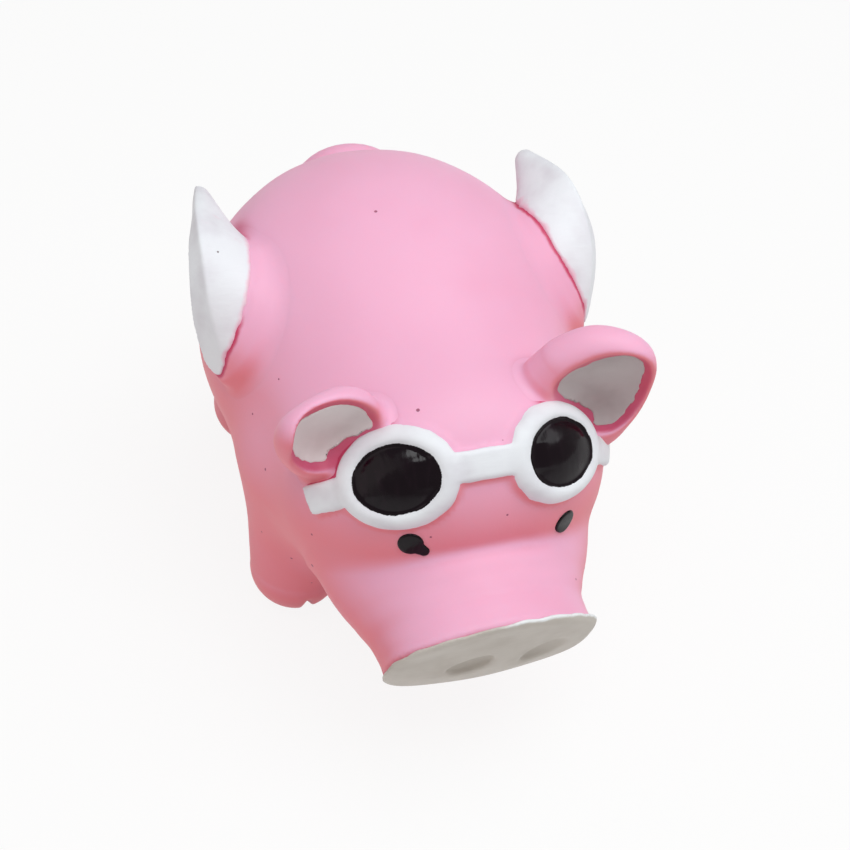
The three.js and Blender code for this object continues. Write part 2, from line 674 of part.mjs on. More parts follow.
const lensColumn = (side, grow) => {
  const place = onBand((side * GOGGLE_APART) / 2);
  const deep = 4 * RIM_PROUD + LENS_HALF_WIDTH;
  return column(place.point, place.normal, bandUp, LENS_HALF_WIDTH + grow, LENS_HALF_HEIGHT + grow, deep);
};
const rimColumns = joined(SIDES.map(([, side]) => lensColumn(side, GAP + RIM_WIDTH + GAP)));
const earRoom = joined(earSpaces);
const bridgeSlab = bandSlab(-GOGGLE_APART / 2, GOGGLE_APART / 2, 0);
addPiece("goggle_bridge", layer(BAND_PROUD).intersect(bridgeSlab).subtract(rimColumns), whitePaint());
for (const [name, side] of SIDES) {
  const rimRing = lensColumn(side, GAP + RIM_WIDTH).subtract(lensColumn(side, GAP));
  const strapSlab = bandSlab((side * GOGGLE_APART) / 2, side * EVERYWHERE, STRAP_END);
  const eyePlace = placeOn(head, side * EYE_LONGITUDE, EYE_LATITUDE);
  const eyeColumn = column(eyePlace.point, eyePlace.normal, upwards, EYE_RADIUS, EYE_RADIUS, 4 * EYE_RADIUS);
  addPiece(`goggle_rim_${name}`, layer(RIM_PROUD).intersect(rimRing).subtract(earRoom), whitePaint());
  addPiece(`goggle_lens_${name}`, layer(LENS_PROUD).intersect(lensColumn(side, 0)), blackPaint());
  addPiece(
    `goggle_strap_${name}`,
    layer(BAND_PROUD).intersect(strapSlab).subtract(rimColumns).subtract(earRoom),
    whitePaint(),
  );
  const eye = layer(EYE_PROUD).intersect(eyeColumn).subtract(muzzleSolid(GAP)).subtract(rimColumns);
  addPiece(`eye_${name}`, eye, blackPaint());
}

// Nose disc with its two nostrils, seated on the end of the snout
const discWidth = NOSE_HALF_WIDTH - NOSE_DISC_MARGIN;
const discHeight = faceHalfHeight - NOSE_DISC_MARGIN;
const discFrame = new THREE.Matrix4().makeBasis(
  vec(1, 0, 0),
  faceAhead,
  new THREE.Vector3().crossVectors(vec(1, 0, 0), faceAhead),
).setPosition(faceCentre);

/** The domed disc: a turned profile of unit radius stretched to the nose's oval. */
function noseDisc() {
  const edge = GAP + NOSE_DISC_THICKNESS;
  const crown = new THREE.QuadraticBezierCurve(
    new THREE.Vector2(1, edge),
    new THREE.Vector2(NOSE_CROWN_BELLY, edge + NOSE_DISC_CROWN),
    new THREE.Vector2(0, edge + NOSE_DISC_CROWN),
  );
  const points = [new THREE.Vector2(0, GAP), new THREE.Vector2(1, GAP), ...crown.getPoints(CROWN_STEPS)];
  const geometry = new THREE.LatheGeometry(points, LARGE_SIDES);
  geometry.scale(discWidth, 1, discHeight);
  return solid(geometry.applyMatrix4(discFrame));
}

/** A nostril's dimple in the disc's face. */
function nostril(side) {
  const geometry = new THREE.SphereGeometry(NOSTRIL_RADIUS, NOTCH_SIDES, NOTCH_SIDES / 2);
  const sink = GAP + NOSE_DISC_THICKNESS + NOSE_DISC_CROWN - NOSTRIL_DEPTH + NOSTRIL_RADIUS;
  const centre = faceCentre.clone()
    .addScaledVector(faceAhead, sink)
    .addScaledVector(faceUp, NOSTRIL_UP)
    .add(vec((side * NOSTRIL_APART) / 2, 0, 0));
  return solid(geometry.translate(centre.x, centre.y, centre.z));
}

addPiece("nose_disc", noseDisc().subtract(nostril(1)).subtract(nostril(-1)), whitePaint());

// Stuffing, kept clear of the root bosses and of the squeaker
const squeakerRoom = rod(seat, COLLAR_RADIUS + GAP, -EVERYWHERE / 2, BARREL_HEIGHT + GAP);
const trunkFilling = inside(trunk, GAP)
  .subtract(wingBosses(GAP))
  .subtract(squeakerRoom);
const headFilling = inside(head, GAP)
  .subtract(earBosses(GAP))
  .add(muzzleSolid(-SKIN_WALL - GAP))
  .subtract(inside(trunk, 0));
addPiece("trunk_filling", trunkFilling, fibre());
addPiece("head_filling", headFilling, fibre());

// Squeaker: barrel, reed block, reed and pierced cap
const boreRadius = BARREL_RADIUS - BARREL_WALL;
const barrel = lathe(
  [
    [AIR_HOLE_RADIUS, 0],
    [FLANGE_RADIUS, 0],
    [FLANGE_RADIUS, FLANGE_THICKNESS],
    [BARREL_RADIUS, FLANGE_THICKNESS],
    [BARREL_RADIUS, collarBottom],
    [COLLAR_RADIUS, collarBottom],
    [COLLAR_RADIUS, collarBottom + COLLAR_THICKNESS],
    [BARREL_RADIUS, collarBottom + COLLAR_THICKNESS],
    [BARREL_RADIUS, BARREL_HEIGHT],
    [boreRadius, BARREL_HEIGHT],
    [boreRadius, BARREL_FLOOR],
    [AIR_HOLE_RADIUS, BARREL_FLOOR],
    [AIR_HOLE_RADIUS, 0],
  ],
  seat,
);
const insertRadius = boreRadius - GAP;
const blockBottom = BARREL_FLOOR + GAP;
const blockTop = blockBottom + REED_BLOCK_HEIGHT;
const postTop = blockTop + REED_POST_HEIGHT;
const postMiddle = (REED_LENGTH - REED_POST_DEPTH) / 2;
const slotLength = REED_LENGTH - 2 * REED_POST_DEPTH;
const inSeat = (y, z) => seat.clone().add(vec(0, y, z));
const slot = box(inSeat(0, blockTop), REED_WIDTH, slotLength, 4 * REED_BLOCK_HEIGHT);
const postHeight = postTop - blockBottom;
const post = box(inSeat(postMiddle, blockBottom + postHeight / 2), REED_WIDTH, REED_POST_DEPTH, postHeight);
const reedBlock = rod(seat, insertRadius, blockBottom, blockTop).subtract(slot).add(post);
const reed = box(inSeat(0, postTop + GAP + REED_THICKNESS / 2), REED_WIDTH, REED_LENGTH, REED_THICKNESS);
const capTop = BARREL_HEIGHT - GAP;
let cap = rod(seat, insertRadius, capTop - CAP_THICKNESS, capTop);
for (let hole = 0; hole < CAP_HOLES; hole += 1) {
  const angle = (2 * Math.PI * hole) / CAP_HOLES;
  const centre = seat.clone().add(vec(Math.cos(angle) * CAP_HOLE_RING, Math.sin(angle) * CAP_HOLE_RING, 0));
  cap = cap.subtract(rod(centre, CAP_HOLE_RADIUS, 0, BARREL_HEIGHT, NOTCH_SIDES));
}
addPiece("squeaker_barrel", barrel, whitePlastic());
addPiece("squeaker_reed_block", reedBlock, whitePlastic());
addPiece("squeaker_reed", reed, amberPlastic());
addPiece("squeaker_cap", cap, whitePlastic());

export default pig;
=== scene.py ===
"""Dresses the latex pig dog toy: one moulded skin, soft flaps, hand-painted films and a squeaker.

Sizes are in millimetres and become metres when a mesh is made. The pig looks along -Y, and its left
side is +X. Every soft form is a distance field, negative inside, that is turned into a closed mesh of quads.
"""

import logging
import math
from collections.abc import Callable, Mapping, Sequence
from dataclasses import dataclass
from enum import Enum

import bpy
import numpy as np
from mathutils import Matrix, Vector


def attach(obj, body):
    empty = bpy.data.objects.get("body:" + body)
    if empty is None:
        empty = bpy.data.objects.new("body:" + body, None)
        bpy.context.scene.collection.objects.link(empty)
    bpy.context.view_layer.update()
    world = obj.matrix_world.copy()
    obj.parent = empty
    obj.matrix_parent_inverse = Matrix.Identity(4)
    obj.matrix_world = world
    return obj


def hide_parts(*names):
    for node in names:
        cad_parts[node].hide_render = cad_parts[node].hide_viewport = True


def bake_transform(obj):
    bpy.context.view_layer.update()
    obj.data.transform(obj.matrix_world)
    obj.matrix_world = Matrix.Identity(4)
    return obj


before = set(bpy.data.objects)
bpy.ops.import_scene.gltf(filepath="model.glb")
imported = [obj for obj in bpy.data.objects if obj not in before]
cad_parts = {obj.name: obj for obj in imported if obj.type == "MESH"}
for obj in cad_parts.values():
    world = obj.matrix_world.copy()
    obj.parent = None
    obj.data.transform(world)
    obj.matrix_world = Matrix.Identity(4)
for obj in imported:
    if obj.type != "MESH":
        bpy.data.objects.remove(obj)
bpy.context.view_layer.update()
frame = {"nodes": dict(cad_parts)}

MM = 0.001
Array = np.ndarray
Triple = tuple[float, float, float]
Knot = tuple[float, float, float, float]
Field = Callable[[Array], Array]
# Distances and weights at which closeness is sampled for the painted crease shade.
CREASE_SHADE_REACHES = ((1.5, 0.3), (3.5, 0.3), (7.0, 0.25), (13.0, 0.15))
log = logging.getLogger("pig")


class Side(Enum):
    """The two sides of the pig, by the sign of X."""

    LEFT = 1
    RIGHT = -1

    @property
    def word(self) -> str:
        """The side's name, as the frame's nodes use it."""
        return self.name.lower()


# Distance fields


def unit(vector: Sequence[float]) -> Array:
    """A vector scaled to a length of one."""
    array = np.asarray(vector, float)
    return array / np.linalg.norm(array)


def smooth_min(first: Array, second: Array, width: float) -> Array:
    """Joins two fields with a fillet.

    Args:
        first: Distances to the first form.
        second: Distances to the second form.
        width: Reach of the fillet in mm.

    Returns:
        Distances to the joined form.
    """
    share = np.maximum(width - np.abs(first - second), 0.0) / width
    return np.minimum(first, second) - share * share * width * 0.25


def soft_min(first: Array, second: Array, width: float) -> Array:
    """Joins two fields with a fillet that runs out evenly at its ends, a sixth of its width thick."""
    share = np.maximum(width - np.abs(first - second), 0.0) / width
    return np.minimum(first, second) - share**3 * width / 6.0


def smooth_max(first: Array, second: Array, width: float) -> Array:
    """Crosses two fields with a rounded edge of a given width."""
    return -smooth_min(-first, -second, width)


def ellipsoid(
    points: Array,
    centre: Sequence[float],
    radii: Sequence[float],
    axes: Array | None = None,
) -> Array:
    """Distances to an ellipsoid.

    Args:
        points: Sample points, one per row.
        centre: The ellipsoid's centre.
        radii: Its three half sizes.
        axes: Its own axes as rows, or none for upright ones.

    Returns:
        Close to the signed distance near the surface.
    """
    local = points - np.asarray(centre)
    if axes is not None:
        local = local @ axes.T
    size = np.asarray(radii)
    outer = np.linalg.norm(local / size, axis=1)
    slope = np.linalg.norm(local / (size * size), axis=1)
    return outer * (outer - 1.0) / np.maximum(slope, 1e-9)


def limb(
    points: Array,
    start: Sequence[float],
    end: Sequence[float],
    start_radius: float,
    end_radius: float,
) -> Array:
    """Distances to a straight limb that tapers between two radii.

    Args:
        points: Sample points, one per row.
        start: Centre of the first end.
        end: Centre of the second end.
        start_radius: Radius at the first end.
        end_radius: Radius at the second end.

    Returns:
        Close to the signed distance.
    """
    first = np.asarray(start)
    along = np.asarray(end) - first
    share = np.clip((points - first) @ along / (along @ along), 0.0, 1.0)
    away = np.linalg.norm(points - first - share[:, None] * along, axis=1)
    return away - (start_radius + (end_radius - start_radius) * share)


def spline(knots: Sequence[Sequence[float]], count: int) -> Array:
    """Places along a smooth curve through its knots.

    Args:
        knots: The knots, each with any number of coordinates.
        count: How many places are given back.

    Returns:
        The places as rows.
    """
    rows = np.asarray(knots, float)
    rows = np.vstack([2.0 * rows[0] - rows[1], rows, 2.0 * rows[-1] - rows[-2]])
    along = np.linspace(0.0, len(knots) - 1.0, count)
    span = np.minimum(along.astype(int), len(knots) - 2)
    share = (along - span)[:, None]
    before, start, end, after = (rows[span + i] for i in range(4))
    bend = 2.0 * before - 5.0 * start + 4.0 * end - after
    twist = 3.0 * start - before - 3.0 * end + after
    return 0.5 * (2.0 * start + (end - before) * share + bend * share**2 + twist * share**3)


class Sheet:
    """A soft sheet that straight ribs span between a root curve and a rim curve."""

    BLEND = 0.5
    BEVEL_BLEND = 1.6
    BEVEL_ROUND = 0.25

    def __init__(self, root: Array, rim: Array, bevel: Array | None = None, ribs: int = 24) -> None:
        """Lays the ribs, evenly along the rim.

        Args:
            root: Knots of the root curve, each a place and half the thickness there.
            rim: Knots of the rim curve, likewise.
            bevel: The way that a flat edge along the rim faces, as long as it lies from the rim, or none.
            ribs: How many ribs there are.
        """
        self.bevel = bevel
        fine = spline(rim, 200)
        gone = np.append(0.0, np.linalg.norm(np.diff(fine[:, :3], axis=0), axis=1).cumsum())
        chosen = np.searchsorted(gone, np.linspace(0.0, gone[-1], ribs)).clip(0, 199)
        self.ends = fine[chosen]
        self.starts = spline(root, 200)[chosen]

    def __call__(self, points: Array) -> Array:
        """Distances to the sheet, smooth between its ribs."""
        ribs = zip(self.starts, self.ends)
        away = np.stack([limb(points, start[:3], end[:3], start[3], end[3]) for start, end in ribs])
        least = away.min(0)
        form = least - self.BLEND * np.log(np.exp((least - away) / self.BLEND).sum(0))
        if self.bevel is None:
            return form
        return smooth_max(form, self.beyond_bevel(points, away - least), self.BEVEL_ROUND)

    def beyond_bevel(self, points: Array, further: Array) -> Array:
        """Distances beyond the flat edge, whose level is taken from the ribs near by.

        Args:
            points: Sample points.
            further: How much further off each rib is than the nearest one.

        Returns:
            Distances, negative on the sheet's side of the edge.
        """
        rim = self.ends[:, :3]
        along = np.gradient(rim, axis=0)
        along /= np.linalg.norm(along, axis=1)[:, None]
        facing = self.bevel - (along @ self.bevel)[:, None] * along
        facing /= np.linalg.norm(facing, axis=1)[:, None]
        share = np.exp(-further / self.BEVEL_BLEND)
        past = facing @ points.T - (facing * rim).sum(1)[:, None]
        return (share * past).sum(0) / share.sum(0) - np.linalg.norm(self.bevel)


class Waves:
    """Smooth unevenness: a fixed sum of sine waves of about one length, between -1 and 1."""

    def __init__(self, seed: int, length: float, count: int = 14) -> None:
        """Draws the waves' directions and phases.

        Args:
            seed: Seed of the draw.
            length: Length of the waves in mm.
            count: How many waves are summed.
        """
        draw = np.random.default_rng(seed)
        ways = draw.normal(size=(3, count))
        ways /= np.linalg.norm(ways, axis=0)
        self.steps = ways * 2.0 * math.pi / (length * draw.uniform(0.7, 1.5, count))
        self.phases = draw.uniform(0.0, 2.0 * math.pi, count)

    def __call__(self, points: Array) -> Array:
        """The unevenness at each point."""
        return np.sin(points @ self.steps + self.phases).sum(1) * math.sqrt(0.5 / len(self.phases))


# Meshes from fields


@dataclass(frozen=True)
class Lattice:
    """A box of sample points on which a field becomes a closed mesh."""

    low: Triple
    high: Triple
    pitch: float
    block: int = 8
    caution: float = 1.5

    def sample(self, form: Field) -> Array:
        """The field's values on the lattice, worked out only in blocks that its surface may cross."""
        side = self.block
        counts = [-(-math.ceil((high - low) / self.pitch) // side) for low, high in zip(self.low, self.high)]
        middles = (np.indices(counts).reshape(3, -1).T + 0.5) * side - 0.5
        coarse = form(np.asarray(self.low) + middles * self.pitch)
        near = np.flatnonzero(np.abs(coarse) < self.caution * side * self.pitch)
        values = np.repeat(coarse[:, None], side**3, 1)
        steps = np.indices((side, side, side)).reshape(3, -1).T
        for some in np.array_split(near, len(near) // 60 + 1):
            corner = np.stack(np.unravel_index(some, counts), 1) * side
            spots = (corner[:, None, :] + steps).reshape(-1, 3)
            values[some] = form(np.asarray(self.low) + spots * self.pitch).reshape(len(some), -1)
        blocks = values.reshape(*counts, side, side, side).transpose(0, 3, 1, 4, 2, 5)
        return blocks.reshape([count * side for count in counts])

    def mesh(self, form: Field, polish: int = 2) -> tuple[Array, Array]:
        """Closed quads round the places where a field is negative.

        Args:
            form: The field.
            polish: How often the corners are evened out and put back on the field's surface.

        Returns:
            Corner points and the quads' corner numbers.
        """
        values = self.sample(form)
        inside = values < 0
        cells = tuple(n - 1 for n in values.shape)
        total = np.zeros((math.prod(cells), 3))
        count = np.zeros(math.prod(cells))
        rings = []
        for axis in range(3):
            lower = [slice(None)] * 3
            upper = [slice(None)] * 3
            lower[axis], upper[axis] = slice(None, -1), slice(1, None)
            start, end = values[tuple(lower)], values[tuple(upper)]
            crossed = np.argwhere(inside[tuple(lower)] != inside[tuple(upper)])
            first, last = start[tuple(crossed.T)], end[tuple(crossed.T)]
            spot = crossed.astype(float)
            spot[:, axis] += first / (first - last)
            one, two = (axis + 1) % 3, (axis + 2) % 3
            ring = []
            for back in ((0, 0), (1, 0), (1, 1), (0, 1)):
                cell = crossed.copy()
                cell[:, one] -= back[0]
                cell[:, two] -= back[1]
                number = np.ravel_multi_index(tuple(cell.T), cells)
                np.add.at(total, number, spot)
                np.add.at(count, number, 1)
                ring.append(number)
            quad = np.stack(ring, 1)
            quad[first >= 0] = quad[first >= 0][:, ::-1]
            rings.append(quad)
        used = np.flatnonzero(count)
        order = np.full(len(count), -1)
        order[used] = np.arange(len(used))
        corners = np.asarray(self.low) + total[used] / count[used, None] * self.pitch
        quads = order[np.concatenate(rings)]
        for _ in range(polish):
            corners = self.settle(form, even(corners, quads))
        return self.settle(form, corners), quads

    def settle(self, form: Field, corners: Array) -> Array:
        """Corners moved along the field's slope onto its surface."""
        here = form(corners)
        step = 0.15 * self.pitch
        slope = np.stack([(form(corners + shift) - here) / step for shift in np.eye(3) * step], 1)
        move = here[:, None] * slope / np.maximum((slope * slope).sum(1), 0.05)[:, None]
        length = np.linalg.norm(move, axis=1)
        cap = np.minimum(1.0, 0.6 * self.pitch / np.maximum(length, 1e-9))
        return corners - move * cap[:, None]


def gradient(form: Field, points: Array, step: float) -> Array:
    """The slope of a field at each point, by differences over a step."""
    shifts = np.eye(3) * step
    return np.stack([(form(points + s) - form(points - s)) / (2.0 * step) for s in shifts], 1)


def even(corners: Array, quads: Array, share: float = 0.5) -> Array:
    """Corners moved towards the middle of their neighbours.

    Args:
        corners: Corner points.
        quads: The quads' corner numbers.
        share: How far they go.

    Returns:
        The moved corner points.
    """
    total = np.zeros_like(corners)
    count = np.zeros(len(corners))
    for i in range(4):
        start, end = quads[:, i], quads[:, (i + 1) % 4]
        np.add.at(total, start, corners[end])
        np.add.at(count, start, 1)
    return corners + share * (total / np.maximum(count, 1)[:, None] - corners)


def make_piece(name: str, corners: Array, quads: Array) -> bpy.types.Object:
    """A smooth-shaded mesh object from corner points in mm.

    Args:
        name: The piece's name.
        corners: Corner points in mm.
        quads: The quads' corner numbers.

    Returns:
        The new object, linked to the scene.
    """
    mesh = bpy.data.meshes.new(name)
    mesh.vertices.add(len(corners))
    mesh.vertices.foreach_set("co", (corners * MM).astype(np.float32).ravel())
    mesh.loops.add(quads.size)
    mesh.loops.foreach_set("vertex_index", quads.astype(np.int32).ravel())
    mesh.polygons.add(len(quads))
    mesh.polygons.foreach_set("loop_start", np.arange(0, quads.size, 4, dtype=np.int32))
    mesh.update(calc_edges=True)
    mesh.validate()
    mesh.shade_smooth()
    piece = bpy.data.objects.new(name, mesh)
    bpy.context.scene.collection.objects.link(piece)
    log.info("%s: %d quads", name, len(quads))
    return piece


def mark(piece: bpy.types.Object, name: str, values: Array) -> None:
    """Keeps one number per corner on a piece, for its material to read."""
    attribute = piece.data.attributes.new(name, "FLOAT", "POINT")
    attribute.data.foreach_set("value", values.astype(np.float32))


# Materials


class Value:
    """A number socket that can be used in Python arithmetic."""

    def __init__(self, tree: "Tree", socket: bpy.types.NodeSocket) -> None:
        """Wraps a socket of a tree."""
        self.tree = tree
        self.socket = socket

    def _math(self, operation: str, first: "Value | float", second: "Value | float") -> "Value":
        """Adds one Math node and returns its result."""
        made = self.tree.node("ShaderNodeMath", {"operation": operation}, {0: first, 1: second})
        return Value(self.tree, made.outputs[0])

    def __add__(self, other: "Value | float") -> "Value":
        """The sum."""
        return self._math("ADD", self, other)

    def __radd__(self, other: float) -> "Value":
        """The sum, from the right."""
        return self._math("ADD", other, self)

    def __sub__(self, other: "Value | float") -> "Value":
        """The difference."""
        return self._math("SUBTRACT", self, other)

    def __rsub__(self, other: float) -> "Value":
        """The difference, from the right."""
        return self._math("SUBTRACT", other, self)

    def __mul__(self, other: "Value | float") -> "Value":
        """The product."""
        return self._math("MULTIPLY", self, other)

    def __rmul__(self, other: float) -> "Value":
        """The product, from the right."""
        return self._math("MULTIPLY", other, self)

    def step(self, low: float, high: float) -> "Value":
        """A smooth step from 0 at the low value to 1 at the high one, or back where low is the larger."""
        settings = {"interpolation_type": "SMOOTHSTEP"}
        flip = low > high
        ends = {"From Min": min(low, high), "From Max": max(low, high)}
        reach = {"To Min": 1.0 if flip else 0.0, "To Max": 0.0 if flip else 1.0}
        made = self.tree.node("ShaderNodeMapRange", settings, {"Value": self, **ends, **reach})
        return Value(self.tree, made.outputs["Result"])


Input = Value | bpy.types.NodeSocket | float | Sequence[float]


class Tree:
    """The node tree of one new material, or of a world."""

    def __init__(self, name: str, world: bpy.types.World | None = None) -> None:
        """Starts with an empty tree.

        Args:
            name: The new material's name.
            world: The world that gets the tree, or none for a material.
        """
        self.owner = world or bpy.data.materials.new(name)
        self.owner.use_nodes = True
        self.nodes = self.owner.node_tree.nodes
        self.links = self.owner.node_tree.links
        self.nodes.clear()

    def node(
        self,
        kind: str,
        settings: Mapping[str, object] | None = None,
        inputs: Mapping[str | int, Input] | None = None,
    ) -> bpy.types.Node:
        """Adds a node.

        Args:
            kind: The node's type.
            settings: Its settings, which are set first.
            inputs: Values or links of its sockets, by name or number.

        Returns:
            The node.
        """
        made = self.nodes.new(kind)
        for key, setting in (settings or {}).items():
            setattr(made, key, setting)
        for key, given in (inputs or {}).items():
            socket = made.inputs[key]
            if isinstance(given, Value):
                self.links.new(given.socket, socket)
            elif isinstance(given, bpy.types.NodeSocket):
                self.links.new(given, socket)
            else:
                socket.default_value = given
        return made

    def place(self) -> bpy.types.NodeSocket:
        """The place on the piece, in metres."""
        return self.node("ShaderNodeTexCoord").outputs["Object"]

    def stretched(self, scale: Triple) -> bpy.types.NodeSocket:
        """The place on the piece, stretched along the axes."""
        made = self.node("ShaderNodeMapping", None, {"Vector": self.place(), "Scale": scale})
        return made.outputs["Vector"]

    def noise(self, length: float, detail: float = 2.0, where: bpy.types.NodeSocket | None = None) -> Value:
        """Noise about 0.5, of a length in mm.

        Args:
            length: Size of its blots in mm.
            detail: How many finer layers it has.
            where: The place that it reads, or none for the plain place.

        Returns:
            The noise.
        """
        inputs = {"Vector": where or self.place(), "Scale": 1.0 / (length * MM), "Detail": detail}
        return Value(self, self.node("ShaderNodeTexNoise", None, inputs).outputs["Fac"])

    def marked(self, name: str) -> Value:
        """A number that the piece keeps per corner."""
        made = self.node("ShaderNodeAttribute", {"attribute_name": name})
        return Value(self, made.outputs["Fac"])

    def mix(self, share: Input, first: Input, second: Input) -> bpy.types.NodeSocket:
        """A colour between two colours."""
        made = self.node("ShaderNodeMix", {"data_type": "RGBA"}, {"Factor": share, 6: first, 7: second})
        return made.outputs[2]

    def specks(self, spacing: float, radius: float, rare: float) -> Value:
        """Scattered round specks.

        Args:
            spacing: Usual distance between the places where a speck may lie, in mm.
            radius: Largest radius in mm.
            rare: Share of the places that stay clean.

        Returns:
            1 in a speck and 0 elsewhere.
        """
        inputs = {"Vector": self.place(), "Scale": 1.0 / (spacing * MM), "Randomness": 1.0}
        cell = self.node("ShaderNodeTexVoronoi", {"feature": "F1"}, inputs)
        away = Value(self, cell.outputs["Distance"])
        channels = self.node("ShaderNodeSeparateColor", None, {"Color": cell.outputs["Color"]}).outputs
        draw = Value(self, channels["Red"])
        size = draw.step(rare, 1.0) * (radius / spacing)
        return (size - away).step(0.0, 0.25 * radius / spacing)

    def surface(self, constants: Mapping[str, Input], inputs: Mapping[str, Input]) -> bpy.types.Material:
        """Closes the material with its shader.

        Args:
            constants: Shader values that are the same all over the surface.
            inputs: Shader sockets that vary over the surface.

        Returns:
            The finished material.
        """
        shader = self.node("ShaderNodeBsdfPrincipled", None, {**constants, **inputs})
        self.node("ShaderNodeOutputMaterial", None, {"Surface": shader.outputs["BSDF"]})
        return self.owner

    def bump(self, height: Value, depth: float, strength: float = 1.0) -> bpy.types.NodeSocket:
        """A normal from a height between 0 and 1 that stands for a depth in mm."""
        inputs = {"Height": height, "Distance": depth * MM, "Strength": strength}
        return self.node("ShaderNodeBump", None, inputs).outputs["Normal"]


def srgb(red: float, green: float, blue: float) -> tuple[float, float, float, float]:
    """A linear colour from display values between 0 and 255."""
    shares = [c / 255.0 for c in (red, green, blue)]
    linear = [c / 12.92 if c <= 0.04045 else ((c + 0.055) / 1.055) ** 2.4 for c in shares]
    return (linear[0], linear[1], linear[2], 1.0)


@dataclass(frozen=True)
class LatexFinish:
    """Satin pink latex: cloudy, with pinholes, and with painted light and shade: lighter on up-facing
    surfaces, deeper pink on the flanks and in the creases.
    """

    name: str = "pink_latex"
    lit_top: Triple = (243, 180, 210)
    shaded_flank: Triple = (240, 134, 146)
    cloud: Triple = (232, 150, 182)
    crease_shade: Triple = (206, 66, 106)
    pinhole: Triple = (150, 62, 96)

    def material(self) -> bpy.types.Material:
        """The finish as a material."""
        tree = Tree(self.name)
        # Painted light and shade: up-facing surfaces get the lighter pink, sideways and down-facing flanks
        # the deeper painted-shade pink.
        colour = tree.mix(tree.marked("up_facing_light").step(-0.1, 0.75), srgb(*self.shaded_flank), srgb(*self.lit_top))
        colour = tree.mix(tree.noise(26.0, 2.0).step(0.4, 0.8) * 0.3, colour, srgb(*self.cloud))
        # Painted shade: creases and hollows, where shade falls, turn a deep pink.
        colour = tree.mix(tree.marked("crease_shade").step(0.2, 0.9), colour, srgb(*self.crease_shade))
        holes = tree.specks(4.6, 0.4, 0.6)
        colour = tree.mix(holes * 0.85, colour, srgb(*self.pinhole))
        grain = tree.noise(1.3, 3.0)
        rough = 0.46 + 0.12 * tree.noise(14.0, 2.0)
        height = grain * 0.5 - holes
        constants = {
            "Subsurface Weight": 0.18,
            "Subsurface Radius": (1.0, 0.32, 0.36),
            "Subsurface Scale": 2.2 * MM,
            "Specular IOR Level": 0.42,
        }
        inputs = {"Base Color": colour, "Roughness": rough, "Normal": tree.bump(height, 0.05)}
        return tree.surface(constants, inputs)


@dataclass(frozen=True)
class WhitePaintFinish:
    """Brushed white paint, thin enough in places to let pink through, with specks; on the nose's shaded copy
    the same mark paints a white highlight on the bead.
    """

    name: str = "white_paint"
    light: Triple = (235, 238, 243)
    dull: Triple = (221, 220, 227)
    thin_paint_and_highlight: Triple = (238, 190, 208)
    speck: Triple = (120, 96, 100)

    def material(self) -> bpy.types.Material:
        """The finish as a material."""
        tree = Tree(self.name)
        colour = tree.mix(tree.noise(9.0, 3.0).step(0.4, 0.75), srgb(*self.light), srgb(*self.dull))
        worn = tree.marked("wear_and_highlight") + (tree.noise(3.0, 3.0) - 0.5) * 0.9
        # Wear lets pink show through thin paint; on the shaded nose paint the same mark paints a white
        # highlight on the bead.
        colour = tree.mix(worn.step(0.35, 0.95), colour, srgb(*self.thin_paint_and_highlight))
        dots = tree.specks(7.0, 0.28, 0.8)
        colour = tree.mix(dots * 0.9, colour, srgb(*self.speck))
        strokes = tree.noise(1.0, 2.0, tree.stretched((0.22, 1.0, 1.0)))
        inputs = {
            "Base Color": colour,
            "Roughness": 0.42 + 0.2 * tree.noise(5.0, 2.0),
            "Normal": tree.bump(strokes - dots, 0.07),
        }
        return tree.surface({"Specular IOR Level": 0.4, "Subsurface Weight": 0.0}, inputs)


@dataclass(frozen=True)
class BlackPaintFinish:
    """Glossy black paint with a plum cast, laid on with a brush."""

    name: str = "black_paint"
    dark: Triple = (13, 2, 10)
    pale: Triple = (24, 10, 20)

    def material(self) -> bpy.types.Material:
        """The finish as a material."""
        tree = Tree(self.name)
        strokes = tree.noise(1.6, 3.0, tree.stretched((1.0, 0.3, 0.3)))
        colour = tree.mix(strokes.step(0.5, 0.8), srgb(*self.dark), srgb(*self.pale))
        inputs = {
            "Base Color": colour,
            "Roughness": 0.12 + 0.2 * tree.noise(4.0, 3.0).step(0.4, 0.75),
            "Normal": tree.bump(strokes, 0.06),
        }
        return tree.surface({"Specular IOR Level": 0.22}, inputs)


@dataclass(frozen=True)
class FibreFinish:
    """Off-white loose fibre."""

    name: str = "fibre"
    light: Triple = (244, 242, 236)
    dull: Triple = (222, 218, 208)

    def material(self) -> bpy.types.Material:
        """The finish as a material."""
        tree = Tree(self.name)
        strands = tree.noise(0.8, 4.0, tree.stretched((0.2, 1.0, 0.6)))
        colour = tree.mix(strands.step(0.3, 0.7), srgb(*self.dull), srgb(*self.light))
        inputs = {"Base Color": colour, "Roughness": 0.86 + 0.12 * strands, "Normal": tree.bump(strands, 0.5)}
        return tree.surface({"Sheen Weight": 0.4, "Specular IOR Level": 0.15}, inputs)


@dataclass(frozen=True)
class PlasticFinish:
    """Moulded plastic with a faint moulding grain."""

    name: str
    light: Triple
    dull: Triple
    rough: float

    def material(self) -> bpy.types.Material:
        """The finish as a material."""
        tree = Tree(self.name)
        colour = tree.mix(tree.noise(6.0, 2.0).step(0.3, 0.8), srgb(*self.light), srgb(*self.dull))
        grain = tree.noise(0.4, 2.0)
        rough = self.rough + 0.1 * grain
        inputs = {"Base Color": colour, "Roughness": rough, "Normal": tree.bump(grain, 0.02)}
        return tree.surface({"Specular IOR Level": 0.45}, inputs)


